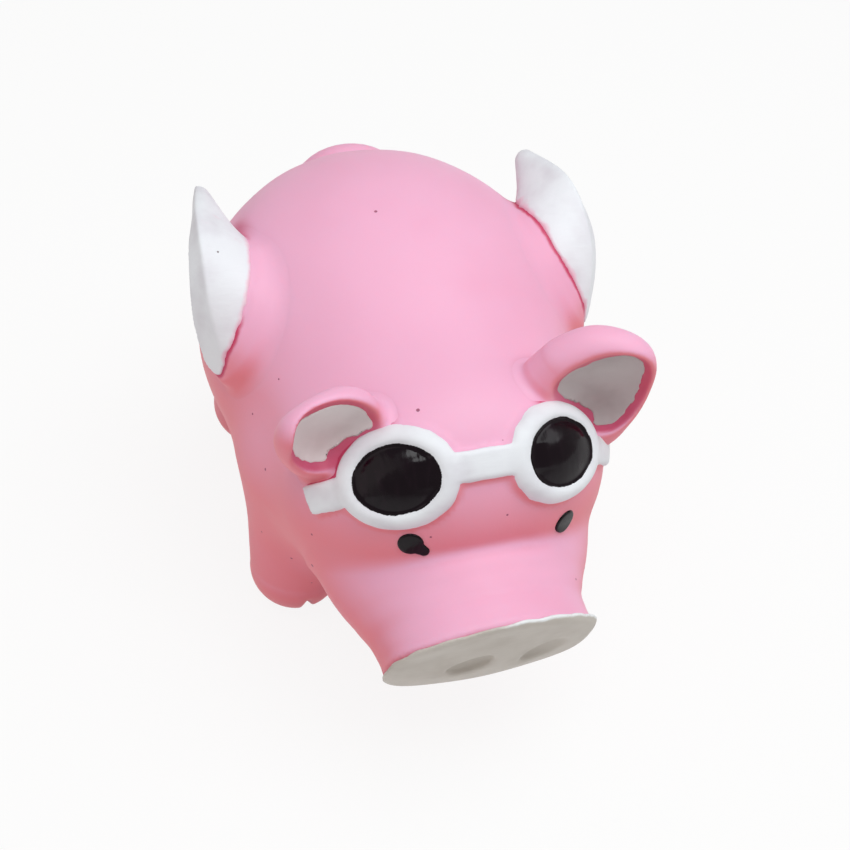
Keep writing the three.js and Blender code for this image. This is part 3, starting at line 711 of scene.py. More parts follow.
class Finishes:
    """All materials of the toy, made once."""

    def __init__(self) -> None:
        """Makes the materials."""
        self.latex = LatexFinish().material()
        self.white = WhitePaintFinish().material()
        # Painted shade: a greyer copy of the white paint for the nose, which faces down and away from the
        # light; its last colour, white, is a painted highlight on the bead.
        shaded = WhitePaintFinish("shaded_white_paint", (205, 199, 191), (192, 185, 176), (240, 243, 245))
        self.shaded_white = shaded.material()
        # Painted shade: two greyed copies of the lining's white paint, the +X ear's much darker, as its
        # lining lies in shade under the rim.
        self.linings = {
            Side.LEFT: WhitePaintFinish("shaded_lining", (196, 188, 188), (182, 174, 174)).material(),
            Side.RIGHT: WhitePaintFinish("lit_lining", (234, 226, 226), (222, 212, 212)).material(),
        }
        self.black = BlackPaintFinish().material()
        self.fibre = FibreFinish().material()
        self.plastic = PlasticFinish("white_plastic", (233, 231, 223), (220, 217, 207), 0.36).material()
        self.amber = PlasticFinish("amber_plastic", (216, 163, 90), (190, 132, 66), 0.28).material()


def dress(piece: bpy.types.Object, material: bpy.types.Material) -> None:
    """Gives a piece its material."""
    piece.data.materials.clear()
    piece.data.materials.append(material)


# The moulded body


@dataclass
class Goggles:
    """The goggles in relief on the face, and their painted films."""

    lens_centre: Triple = (15.0, -40.9, 62.4)
    outwards: Triple = (14.9, 4.8, -5.2)
    rim_half_width: float = 9.4
    rim_half_height: float = 7.5
    rim_bead: float = 1.9
    rim_flat: float = 0.95
    lens_half_width: float = 8.1
    lens_half_height: float = 6.35
    lens_rise: float = 1.0
    lens_crown: float = 0.7
    band_centre: Triple = (0.0, -26.7, 42.4)
    band_slope: float = 54.0
    band_height: float = 5.4
    band_rise: float = 1.25
    band_edge: float = 0.9
    strap_end: float = 12.6
    band_fillet: float = 0.8
    lens_fillet: float = 0.6
    rim_bare: float = 0.1
    band_lap: float = 0.05

    def __post_init__(self) -> None:
        """Works out the band's directions and starts with no lens frame."""
        slope = math.radians(self.band_slope)
        self.band_up = np.array([0.0, math.sin(slope), math.cos(slope)])
        self.band_ahead = np.array([0.0, -math.cos(slope), math.sin(slope)])
        self.frame = np.eye(3)
        self.wobble = Waves(11, 4.2)
        self.fray = Waves(12, 1.3)

    def fit(self, skin: Field) -> None:
        """Lays the lenses' frame on the skin: outwards, up and away from the face."""
        away = unit(gradient(skin, np.array([self.lens_centre]), 0.3)[0])
        side = np.asarray(self.outwards)
        side = unit(side - away * (side @ away))
        rise = np.cross(away, side)
        self.frame = np.stack([side, rise if rise[2] > 0 else -rise, away])

    def oval(self, points: Array, half_width: float, half_height: float) -> Array:
        """Distances across the face from the lenses' oval outline, negative inside."""
        local = np.column_stack([np.abs(points[:, 0]), points[:, 1:]]) - np.asarray(self.lens_centre)
        across, up = local @ self.frame[0], local @ self.frame[1]
        reach = np.sqrt((across / half_width) ** 2 + (up / half_height) ** 2)
        return (reach - 1.0) * (half_width + half_height) / 2.0

    def band(self, points: Array) -> Array:
        """Distances across the face from the band of bridge and straps."""
        offset = points - np.asarray(self.band_centre)
        tall = np.abs(offset @ self.band_up) - self.band_height / 2.0
        behind = self.strap_end - offset @ self.band_ahead
        return np.maximum(tall, behind)

    def relief(self, points: Array, height: Array) -> Array:
        """Distances to the raised goggles.

        Args:
            points: Sample points.
            height: Their heights above the skin.

        Returns:
            The field of rims, lenses, bridge and straps.
        """
        ring = self.oval(points, self.rim_half_width, self.rim_half_height)
        rim = np.sqrt(ring * ring + (self.rim_flat * height) ** 2) - self.rim_bead
        oval = self.oval(points, self.lens_half_width, self.lens_half_height)
        dome = np.clip(-oval / self.lens_half_height, 0.0, 1.0)
        lens = np.maximum(height - self.lens_rise - self.lens_crown * (1.0 - (1.0 - dome) ** 2), oval)
        tall = self.band(points) + self.band_edge
        high = height - self.band_rise + self.band_edge
        outside = np.hypot(np.maximum(tall, 0.0), np.maximum(high, 0.0))
        band = outside + np.minimum(np.maximum(tall, high), 0.0) - self.band_edge
        return smooth_min(smooth_min(rim, band, self.band_fillet), lens, self.lens_fillet)

    def frame_paint(self, points: Array) -> Array:
        """Distances from the brushed edge of the white frame."""
        wide, tall = self.rim_half_width + self.rim_bead, self.rim_half_height + self.rim_bead
        edge = np.minimum(self.oval(points, wide, tall) + self.rim_bare, self.band(points) - self.band_lap)
        return edge + 0.1 * self.wobble(points) + 0.03 * self.fray(points)

    def lens_paint(self, points: Array) -> Array:
        """Distances from the brushed edge of the black lenses."""
        edge = self.oval(points, self.lens_half_width, self.lens_half_height)
        return edge + 0.12 * self.wobble(points) + 0.04 * self.fray(points)


@dataclass
class Muzzle:
    """The waisted snout with its flat nose and two nostrils, along the head's tilted axis."""

    tilt: float = 20.0
    nose: Triple = (0.0, -59.2, 31.0)
    half_height: float = 13.6
    snout_rise: float = 1.15
    face_lean: float = 0.03
    face_round: float = 2.1
    chin_square: float = 3.2
    flare: tuple[tuple[float, float], ...] = (
        (-2.0, 20.2),
        (0.0, 20.2),
        (3.0, 19.0),
        (8.0, 17.2),
        (13.0, 15.3),
        (17.0, 15.3),
        (21.0, 18.4),
        (26.0, 25.4),
    )
    height_share: tuple[tuple[float, float], ...] = ((0.0, 0.747), (14.0, 0.713), (24.0, 0.75))
    depth: float = 26.0
    jaw_back: float = 25.0
    jaw_drop: float = 5.0
    jaw_radii: Triple = (26.5, 24.0, 16.5)
    nostril_apart: float = 14.2
    nostril_side: float = 3.0
    nostril_up: float = -2.4
    nostril_radii: Triple = (4.2, 1.5, 3.6)
    nostril_ahead: float = 0.95
    nostril_slant: float = 0.35
    wrinkle: float = 0.13
    wrinkle_pace: float = 1.15
    wrinkle_wander: float = 1.3
    wrinkle_back: float = 9.0
    roll: float = 1.0
    roll_back: float = 13.0
    roll_width: float = 3.0

    def __post_init__(self) -> None:
        """Works out the tilted axes: side, back and up."""
        tilt = math.radians(self.tilt)
        self.axes = np.array(
            [[1.0, 0.0, 0.0], [0.0, math.cos(tilt), math.sin(tilt)], [0.0, -math.sin(tilt), math.cos(tilt)]]
        )
        self.profile = spline(self.flare, 120)
        self.wander = Waves(21, 16.0)
        self.tip = self.at(0.0, self.snout_rise)

    def at(self, back: float, up: float = 0.0) -> Array:
        """A place on the tilted axis behind the nose."""
        return np.asarray(self.nose) + back * self.axes[1] + up * self.axes[2]

    def from_tip(self, points: Array) -> Array:
        """Places measured from the nose's middle: to the side, back and up."""
        return (points - self.tip) @ self.axes.T

    def outline(self, local: Array) -> tuple[Array, Array]:
        """How far out each place lies, 1 on the snout's outline, and the outline's half height there.

        Args:
            local: Places measured from the nose's middle.

        Returns:
            The shares and the half heights.
        """
        side, back, up = local.T
        wide = np.interp(back, self.profile[:, 0], self.profile[:, 1])
        tall = wide * np.interp(back, *zip(*self.height_share))
        power = np.where(up < 0.0, self.chin_square, 2.0)
        return (np.abs(side / wide) ** power + np.abs(up / tall) ** power) ** (1.0 / power), tall

    def snout(self, points: Array) -> Array:
        """Distances to the snout, squarer in its lower half."""
        local = self.from_tip(points)
        back, up = local[:, 1], local[:, 2]
        reach, tall = self.outline(local)
        form = (reach - 1.0) * tall * 0.9
        ripple = np.sin(back * self.wrinkle_pace + self.wrinkle_wander * self.wander(points))
        ripple *= np.clip(1.0 - np.abs(back - self.wrinkle_back) / self.wrinkle_back, 0.0, 1.0)
        roll = np.exp(-(((back - self.roll_back) / self.roll_width) ** 2)) * np.clip(up / tall, 0.0, 1.0)
        form = form + self.wrinkle * ripple - self.roll * roll
        form = smooth_max(form, self.face(points), self.face_round)
        return np.maximum(form, back - self.depth)

    def face(self, points: Array) -> Array:
        """Distances ahead of the nose's flat face, positive before it."""
        local = self.from_tip(points)
        return (self.half_height - local[:, 2]) * self.face_lean - local[:, 1]

    def jaw(self, points: Array) -> Array:
        """Distances to the jaw."""
        return ellipsoid(points, self.at(self.jaw_back, -self.jaw_drop), self.jaw_radii, self.axes)

    def nostrils(self, points: Array) -> Array:
        """Distances to the two hollows that press the nostrils into the nose."""
        local = self.from_tip(points)
        sunk = (self.half_height - self.nostril_up) * self.face_lean
        across = local[:, 0] - self.nostril_side
        offset = np.abs(across) - self.nostril_apart / 2.0
        lean = self.nostril_slant * np.where(across < 0.0, -offset, offset)
        depth = local[:, 1] - sunk + self.nostril_ahead
        slant = np.column_stack([offset, depth, local[:, 2] - self.nostril_up - lean])
        return ellipsoid(slant, (0.0, 0.0, 0.0), self.nostril_radii)


@dataclass
class Body:
    """The moulded skin: trunk, head, muzzle and legs in one, with a hole in the belly for the squeaker."""

    muzzle: Muzzle
    goggles: Goggles
    trunk_centre: Triple = (0.0, 14.8, 45.5)
    trunk_radii: Triple = (38.0, 42.0, 33.5)
    head_back: float = 36.0
    head_radii: Triple = (31.5, 22.8, 29.0)
    neck: float = 14.0
    cheek: float = 1.4
    jowl: float = 8.0
    thigh: float = 9.0
    front_leg: tuple[Triple, Triple] = ((21.0, -9.2, 34.0), (24.5, -12.7, 9.5))
    front_radii: tuple[float, float] = (13.5, 9.5)
    rear_leg: tuple[Triple, Triple] = ((19.5, 34.2, 34.0), (22.0, 35.2, 9.5))
    rear_radii: tuple[float, float] = (13.0, 9.5)
    cleft_radius: float = 0.9
    cleft_height: float = 8.0
    cleft_turn: float = 4.0
    cleft_radii: tuple[float, float] = (1.5, 0.5)
    cleft_start: float = 0.45
    cleft_proud: float = 0.4
    sole_round: float = 1.4
    unevenness: float = 0.1
    face_back: float = -12.0
    face_depth: float = 6.0
    relief_fillet: float = 0.9
    nostril_round: float = 1.6
    wall: float = 2.4
    hole_radius: float = 10.3
    hole_top: float = 13.9
    lip_radius: float = 8.3
    lip_top: float = 30.0
    hole_round: float = 0.3
    pitch: float = 0.9

    def __post_init__(self) -> None:
        """Seats the goggles on the skin."""
        self.uneven = Waves(31, 17.0)
        self.goggles.fit(self.skin)

    def core(self, points: Array) -> Array:
        """Distances to trunk, head and muzzle."""
        head_centre = self.muzzle.at(self.head_back)
        form = ellipsoid(points, self.trunk_centre, self.trunk_radii)
        form = smooth_min(form, ellipsoid(points, head_centre, self.head_radii, self.muzzle.axes), self.neck)
        face = smooth_min(self.muzzle.snout(points), self.muzzle.jaw(points), self.jowl)
        return smooth_min(form, face, self.cheek)

    def skin(self, points: Array) -> Array:
        """Distances to the smooth body on its four legs."""
        both = np.column_stack([np.abs(points[:, 0]), points[:, 1:]])
        form = self.core(both) + self.unevenness * self.uneven(points)
        for (thigh, foot), radii in ((self.front_leg, self.front_radii), (self.rear_leg, self.rear_radii)):
            leg = limb(both, thigh, foot, *radii)
            turn = math.radians(self.cleft_turn)
            ahead = np.array([-math.sin(turn), -math.cos(turn), 0.0])
            sole = np.asarray(foot) * (1.0, 1.0, 0.0)
            low = sole + ahead * radii[1] * self.cleft_start
            high = sole + ahead * (radii[1] + self.cleft_proud) + (0.0, 0.0, self.cleft_height)
            cleft = limb(both, low, high, *self.cleft_radii)
            form = smooth_min(form, smooth_max(leg, -cleft, self.cleft_radius), self.thigh)
        return smooth_max(form, -points[:, 2], self.sole_round)

    def moulding(self, points: Array) -> Array:
        """Distances to the body with goggles and nostrils in relief."""
        form = self.skin(points)
        face = (points[:, 1] < self.face_back) & (np.abs(form) < self.face_depth)
        near = points[face]
        height = form[face]
        raised = smooth_min(height, self.goggles.relief(near, height), self.relief_fillet)
        form[face] = smooth_max(raised, -self.muzzle.nostrils(near), self.nostril_round)
        return form

    def hole(self, points: Array) -> Array:
        """Distances to the stepped hole in the belly."""
        away = np.hypot(points[:, 0], points[:, 1] - self.trunk_centre[1])
        mouth = np.maximum(away - self.hole_radius, points[:, 2] - self.hole_top)
        neck = np.maximum(away - self.lip_radius, points[:, 2] - self.lip_top)
        return np.minimum(mouth, neck)

    def shell(self, points: Array) -> Array:
        """Distances to the hollow skin with its hole."""
        both = np.column_stack([np.abs(points[:, 0]), points[:, 1:]])
        form = np.maximum(self.moulding(points), -(self.core(both) + self.wall))
        return smooth_max(form, -self.hole(points), self.hole_round)

    def build(self, finishes: Finishes, whole: Field) -> None:
        """Makes the skin and dresses it.

        Args:
            finishes: The toy's materials.
            whole: The field of the whole toy, for the depth of the painted crease shade.
        """
        lattice = Lattice((-42.0, -68.0, -2.0), (42.0, 61.0, 82.0), self.pitch)
        corners, quads = lattice.mesh(self.shell)
        piece = make_piece("body_skin", corners, quads)
        mark_painted_light(piece, whole, self.shell, corners)
        dress(piece, finishes.latex)
        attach(piece, "pig")
        legs = [f"{end}_leg_{side.word}" for end in ("front", "rear") for side in Side]
        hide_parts("trunk_skin", "head_skin", "muzzle_skin", *legs)


def mark_painted_light(
    piece: bpy.types.Object,
    whole: Field,
    form: Field,
    corners: Array,
    seam: Array | float = 0.0,
    depth: float = 1.0,
) -> None:
    """Marks painted light and shade: how deep each corner lies in a crease, for painted crease shade, and how
    far it looks up, for painted top light.

    Args:
        piece: The piece to mark.
        whole: The field of the whole toy.
        form: The field of the piece.
        corners: The piece's corner points.
        seam: How near each corner lies to a seam, up to 1, which gets painted shade too.
        depth: How strongly the painted crease shade shows.
    """
    slope = gradient(form, corners, 0.3)
    away = slope / np.maximum(np.linalg.norm(slope, axis=1), 1e-6)[:, None]
    closed = np.zeros(len(corners))
    for reach, weight in CREASE_SHADE_REACHES:
        # Painted shade: the more the toy closes round a corner, the deeper its painted crease shade.
        closed += weight * np.clip(1.0 - whole(corners + away * reach) / reach, 0.0, 1.0)
    mark(piece, "crease_shade", np.maximum(closed * depth, seam))
    # Painted light: how far the corner faces up, which lightens the pink.
    mark(piece, "up_facing_light", away[:, 2])


# Flaps


@dataclass
class Flap:
    """A soft flap that grows out of the body."""

    body: Body
    side: Side
    fillet: float = 2.6
    sunk: float = 1.5
    skirt: float = 5.0
    cover: float = 0.05

    def mirrored(self, places: Sequence[Sequence[float]]) -> Array:
        """Places of the left side, moved to this side."""
        rows = np.array(places, float)
        rows[:, 0] *= self.side.value
        return rows

    def blade(self, points: Array) -> Array:
        """Distances to the flap alone."""
        raise NotImplementedError

    def joined(self, points: Array) -> Array:
        """Distances to the flap with its skirt just under the skin."""
        base = self.body.skin(points)
        blade = self.blade(points)
        form = soft_min(base + self.cover, blade, self.fillet)
        return np.maximum(form, np.maximum(-(base + self.sunk), blade - self.skirt))


@dataclass
class Ear(Flap):
    """A cupped ear that leans over the face, lined with white."""

    root: tuple[Knot, ...] = ((16.5, -29.0, 70.0, 4.5), (22.5, -29.6, 64.5, 4.4), (27.3, -30.5, 56.5, 4.1))
    rim: tuple[Knot, ...] = (
        (18.0, -29.3, 73.0, 4.0),
        (24.0, -30.4, 76.4, 3.8),
        (30.4, -33.6, 75.4, 3.3),
        (30.8, -32.7, 66.2, 3.5),
        (27.8, -31.0, 57.0, 3.9),
    )
    hollow_root: tuple[Knot, ...] = (
        (18.6, -35.4, 70.8, 3.0),
        (22.7, -35.2, 67.5, 3.4),
        (27.2, -34.4, 62.6, 3.0),
    )
    hollow_rim: tuple[Knot, ...] = (
        (19.2, -35.6, 72.2, 2.8),
        (24.8, -36.4, 75.0, 3.0),
        (29.6, -36.9, 74.4, 2.6),
        (30.0, -35.8, 68.2, 2.8),
        (27.6, -34.6, 63.0, 3.0),
    )
    fillet: float = 3.6
    skirt: float = 5.5
    rim_round: float = 1.4
    margin: float = 2.0
    lining: float = 0.14
    lining_lap: float = 1.2
    lining_depth: float = 0.6
    lining_round: float = 0.3
    clear_of_head: float = 0.9
    crease_shade_share: float = 0.75
    bend: tuple[Triple, Triple] = ((20.8, -29.9, 63.1), (24.9, -33.5, 67.9))

    def __post_init__(self) -> None:
        """Spans the ear and its hollow, and draws the brushed edge of the lining."""
        self.outside = Sheet(self.mirrored(self.root), self.mirrored(self.rim))
        self.inside = Sheet(self.mirrored(self.hollow_root), self.mirrored(self.hollow_rim))
        self.wobble = Waves(41 + self.side.value, 3.4)
        self.fray = Waves(44 + self.side.value, 1.2)

    def blade(self, points: Array) -> Array:
        """Distances to the ear without its hollow."""
        return self.outside(points)

    def joined(self, points: Array) -> Array:
        """Distances to the cupped ear with its skirt just under the skin."""
        return smooth_max(super().joined(points), -self.inside(points), self.rim_round)

    def film(self, points: Array) -> Array:
        """Distances to the white lining in the hollow."""
        ground = self.joined(points)
        edge = np.maximum(self.blade(points) + self.margin, self.inside(points) - self.lining_lap)
        edge = np.maximum(edge, self.clear_of_head - self.body.skin(points))
        edge = edge + 0.25 * self.wobble(points) + 0.06 * self.fray(points)
        form = np.maximum(ground - self.lining, -(ground + self.lining_depth))
        return smooth_max(form, edge, self.lining_round)

    def build(self, finishes: Finishes, whole: Field) -> None:
        """Makes the ear and its lining."""
        word = self.side.word
        spread = self.mirrored(((-1.0, 0.0, 0.0), (44.0, 0.0, 0.0)))[:, 0]
        low, high = float(spread.min()), float(spread.max())
        corners, quads = Lattice((low, -52.0, 40.0), (high, -10.0, 86.0), 0.5).mesh(self.joined)
        ear = make_piece(f"ear_flap_{word}", corners, quads)
        # Painted crease shade on the ear, weaker than on the body.
        mark_painted_light(ear, whole, self.joined, corners, depth=self.crease_shade_share)
        dress(ear, finishes.latex)
        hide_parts(f"ear_{word}")
        corners, quads = Lattice((low, -50.0, 50.0), (high, -20.0, 84.0), 0.3).mesh(self.film)
        lining = make_piece(f"ear_film_{word}", corners, quads)
        mark(lining, "wear_and_highlight", np.zeros(len(corners)))
        dress(lining, finishes.linings[self.side])
        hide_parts(f"ear_lining_{word}")
        start, end = self.mirrored(self.bend) * MM
        for piece in (ear, lining):
            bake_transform(piece)


@dataclass
class Wing(Flap):
    """A small wing spread from the shoulder, with a white coat that ends short of its root."""

    fillet: float = 5.0
    skirt: float = 7.0
    root: tuple[Knot, ...] = (
        (35.6, 1.5, 53.2, 2.6),
        (31.3, 0.9, 58.8, 3.6),
        (28.0, 5.2, 64.4, 3.9),
        (28.0, 12.1, 66.2, 3.7),
        (30.9, 16.6, 66.0, 2.8),
    )
    rim: tuple[Knot, ...] = (
        (38.0, 2.6, 54.6, 1.7),
        (39.0, 5.8, 62.6, 2.1),
        (38.8, 10.4, 69.6, 2.1),
        (37.6, 19.6, 73.2, 2.1),
        (34.6, 34.0, 69.6, 2.0),
    )
    coat_root: tuple[Knot, ...] = (
        (38.3, 1.5, 54.6, 1.8),
        (36.1, 3.1, 62.6, 2.8),
        (33.5, 6.9, 68.6, 2.8),
        (32.1, 14.0, 70.5, 2.8),
        (31.5, 20.9, 68.2, 2.8),
    )
    coat_rim: tuple[Knot, ...] = (
        (39.5, 3.5, 55.4, 2.0),
        (41.0, 7.0, 63.6, 2.6),
        (40.6, 11.2, 70.6, 2.6),
        (38.8, 20.5, 74.0, 2.6),
        (35.0, 36.0, 69.8, 2.8),
    )
    bevel: Triple = (0.6, -0.32, 0.2)
    coat_thickness: float = 0.3
    coat_depth: float = 0.6
    coat_round: float = 0.3
    worn_edge: float = 0.9
    worn_most: float = 0.8
    # seam, seam_depth and seam_reach shape the groove where the coat ends; seam_top and seam_fade set where
    # the painted shade along it fades out.
    seam: float = 0.8
    seam_depth: float = 0.25
    seam_top: float = 90.0
    seam_fade: float = 5.0
    seam_reach: float = 2.0
    bend: tuple[Triple, Triple] = ((31.2, 8.2, 61.9), (35.3, 7.5, 64.7))

    def __post_init__(self) -> None:
        """Spans the wing and its coat, and draws the coat's brushed edge."""
        bevel = self.mirrored((self.bevel,))[0]
        self.sheet = Sheet(self.mirrored(self.root), self.mirrored(self.rim), bevel)
        self.coat = Sheet(self.mirrored(self.coat_root), self.mirrored(self.coat_rim))
        self.wobble = Waves(71 + self.side.value, 4.0)
        self.fray = Waves(74 + self.side.value, 1.3)

    def blade(self, points: Array) -> Array:
        """Distances to the wing."""
        return self.sheet(points)

    def joined(self, points: Array) -> Array:
        """Distances to the wing with its skirt and the groove where its coat ends."""
        form = super().joined(points)
        near = np.abs(form) < self.seam_reach
        form[near] += self.seam_depth * self.along_seam(points[near])
        return form

    def along_seam(self, points: Array) -> Array:
        """How near each place lies to the line where the coat ends, up to 1."""
        return np.exp(-((self.brushed(points) / self.seam) ** 2))

    def brushed(self, points: Array) -> Array:
        """Distances from the coat's edge."""
        return self.coat(points) + 0.16 * self.wobble(points) + 0.06 * self.fray(points)

    def film(self, points: Array) -> Array:
        """Distances to the white coat."""
        ground = self.joined(points)
        coat = np.maximum(ground - self.coat_thickness, -(ground + self.coat_depth))
        return smooth_max(coat, self.brushed(points), self.coat_round)

    def build(self, finishes: Finishes, whole: Field) -> None:
        """Makes the flap and its coat."""
        word = self.side.word
        spread = self.mirrored(((8.0, 0.0, 0.0), (47.0, 0.0, 0.0)))[:, 0]
        low, high = float(spread.min()), float(spread.max())
        corners, quads = Lattice((low, -18.0, 34.0), (high, 44.0, 84.0), 0.6).mesh(self.joined)
        wing = make_piece(f"wing_flap_{word}", corners, quads)
        # Painted shade along the groove where the coat ends, faded out above seam_top.
        shown = np.clip((self.seam_top - corners[:, 2]) / self.seam_fade, 0.0, 1.0)
        mark_painted_light(wing, whole, self.joined, corners, shown * self.along_seam(corners))
        dress(wing, finishes.latex)
        corners, quads = Lattice((low, -5.0, 48.0), (high, 42.0, 80.0), 0.4).mesh(self.film)
        coat = make_piece(f"wing_coat_{word}", corners, quads)
        worn = np.clip(1.0 + self.brushed(corners) / self.worn_edge, 0.0, 1.0)
        mark(coat, "wear_and_highlight", self.worn_most * worn)
        dress(coat, finishes.white)
        start, end = self.mirrored(self.bend) * MM
        for piece in (wing, coat):
            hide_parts(f"wing_{word}")
            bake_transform(piece)


@dataclass
class Tail:
    """A thick curl that lies on the rump and grows out of it at its root."""

    body: Body
    longitude: float = 171.0
    latitude: float = -14.0
    loop: float = 11.0
    end_loop: float = 8.0
    root_thickness: float = 8.6
    tip_thickness: float = 6.0
    turn: float = 268.0
    steps: int = 26
    lift: float = 0.5
    collar: float = 7.5
    collar_proud: float = 0.05
    collar_fillet: float = 2.2
    sunk: float = 1.5
    bend_length: float = 5.0

    def __post_init__(self) -> None:
        """Works out the root's place and the balls along the curl."""
        self.root, self.normal = self.on_trunk(self.direction(self.longitude, self.latitude), 0.0)
        self.up = unit(np.cross(self.normal, (-1.0, 0.0, 0.0)))
        self.balls = [(self.root, self.root_thickness / 2.0)]
        for step in range(self.steps + 1):
            share = step / self.steps
            angle = math.radians(self.turn * share)
            loop = self.loop + (self.end_loop - self.loop) * share
            radius = (self.root_thickness + (self.tip_thickness - self.root_thickness) * share) / 2.0
            flat = self.root + self.up * (self.loop - loop * math.cos(angle))
            flat = flat - np.array([loop * math.sin(angle), 0.0, 0.0])
            toward = unit((flat - self.body.trunk_centre) / self.body.trunk_radii)
            self.balls.append((self.on_trunk(toward, radius + self.lift)[0], radius))

    def direction(self, longitude: float, latitude: float) -> Array:
        """A direction on the unit sphere: longitude 0 looks ahead and grows towards +X."""
        lon, lat = math.radians(longitude), math.radians(latitude)
        return np.array([math.sin(lon) * math.cos(lat), -math.cos(lon) * math.cos(lat), math.sin(lat)])

    def on_trunk(self, toward: Array, proud: float) -> tuple[Array, Array]:
        """A place over the trunk and the outward normal there."""
        radii = np.asarray(self.body.trunk_radii)
        normal = unit(toward / radii)
        return np.asarray(self.body.trunk_centre) + toward * radii + normal * proud, normal

    def blade(self, points: Array) -> Array:
        """Distances to the curl."""
        form = np.full(len(points), np.inf)
        for (start, one), (end, two) in zip(self.balls, self.balls[1:]):
            form = np.minimum(form, limb(points, start, end, one, two))
        return form

    def joined(self, points: Array) -> Array:
        """Distances to the curl grown out of the rump, with a collar round its root."""
        base = self.body.skin(points)
        away = np.linalg.norm(points - self.root, axis=1)
        collar = np.maximum(base + self.collar_proud, away - self.collar)
        form = smooth_min(self.blade(points), collar, self.collar_fillet)
        return np.maximum(form, -(base + self.sunk))

    def build(self, finishes: Finishes, whole: Field) -> None:
        """Makes the tail."""
        corners, quads = Lattice((-13.0, 38.0, 20.0), (25.0, 72.0, 66.0), 0.55).mesh(self.joined)
        tail = make_piece("tail_curl", corners, quads)
        mark_painted_light(tail, whole, self.joined, corners)
        dress(tail, finishes.latex)
        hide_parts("tail")
        start = self.root * MM
        end = (self.root + self.up * self.bend_length) * MM
        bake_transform(tail)


# Painted films


@dataclass
class PaintedFilm:
    """A coat of paint over the moulding, inside a brushed edge."""

    name: str
    nodes: tuple[str, ...]
    ground: Field
    edge: Field
    low: Triple
    high: Triple
    pitch: float
    thickness: float = 0.2
    depth: float = 0.8
    rounding: float = 0.35
    bead: Field | None = None
    bead_height: float = 0.3

    def form(self, points: Array) -> Array:
        """Distances to the coat."""
        ground = self.ground(points)
        edge = self.edge(points)
        thickness = self.thickness + self.bead_height * self.gathered(points)
        coat = np.maximum(ground - thickness, -(ground + self.depth))
        return smooth_max(coat, edge, self.rounding)

    def gathered(self, points: Array) -> Array:
        """How much of the paint has gathered in a bead at each place, up to 1; the share also marks a painted
        highlight on the nose.
        """
        return np.zeros(len(points)) if self.bead is None else self.bead(points)

    def build(self, material: bpy.types.Material, slot: str) -> None:
        """Makes the coat and dresses it."""
        corners, quads = Lattice(self.low, self.high, self.pitch).mesh(self.form)
        piece = make_piece(self.name, corners, quads)
        # The bead share is marked too: on the shaded nose paint it lightens to white, a painted highlight.
        mark(piece, "wear_and_highlight", self.gathered(corners))
        dress(piece, material)
        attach(piece, "pig")
        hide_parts(*self.nodes)


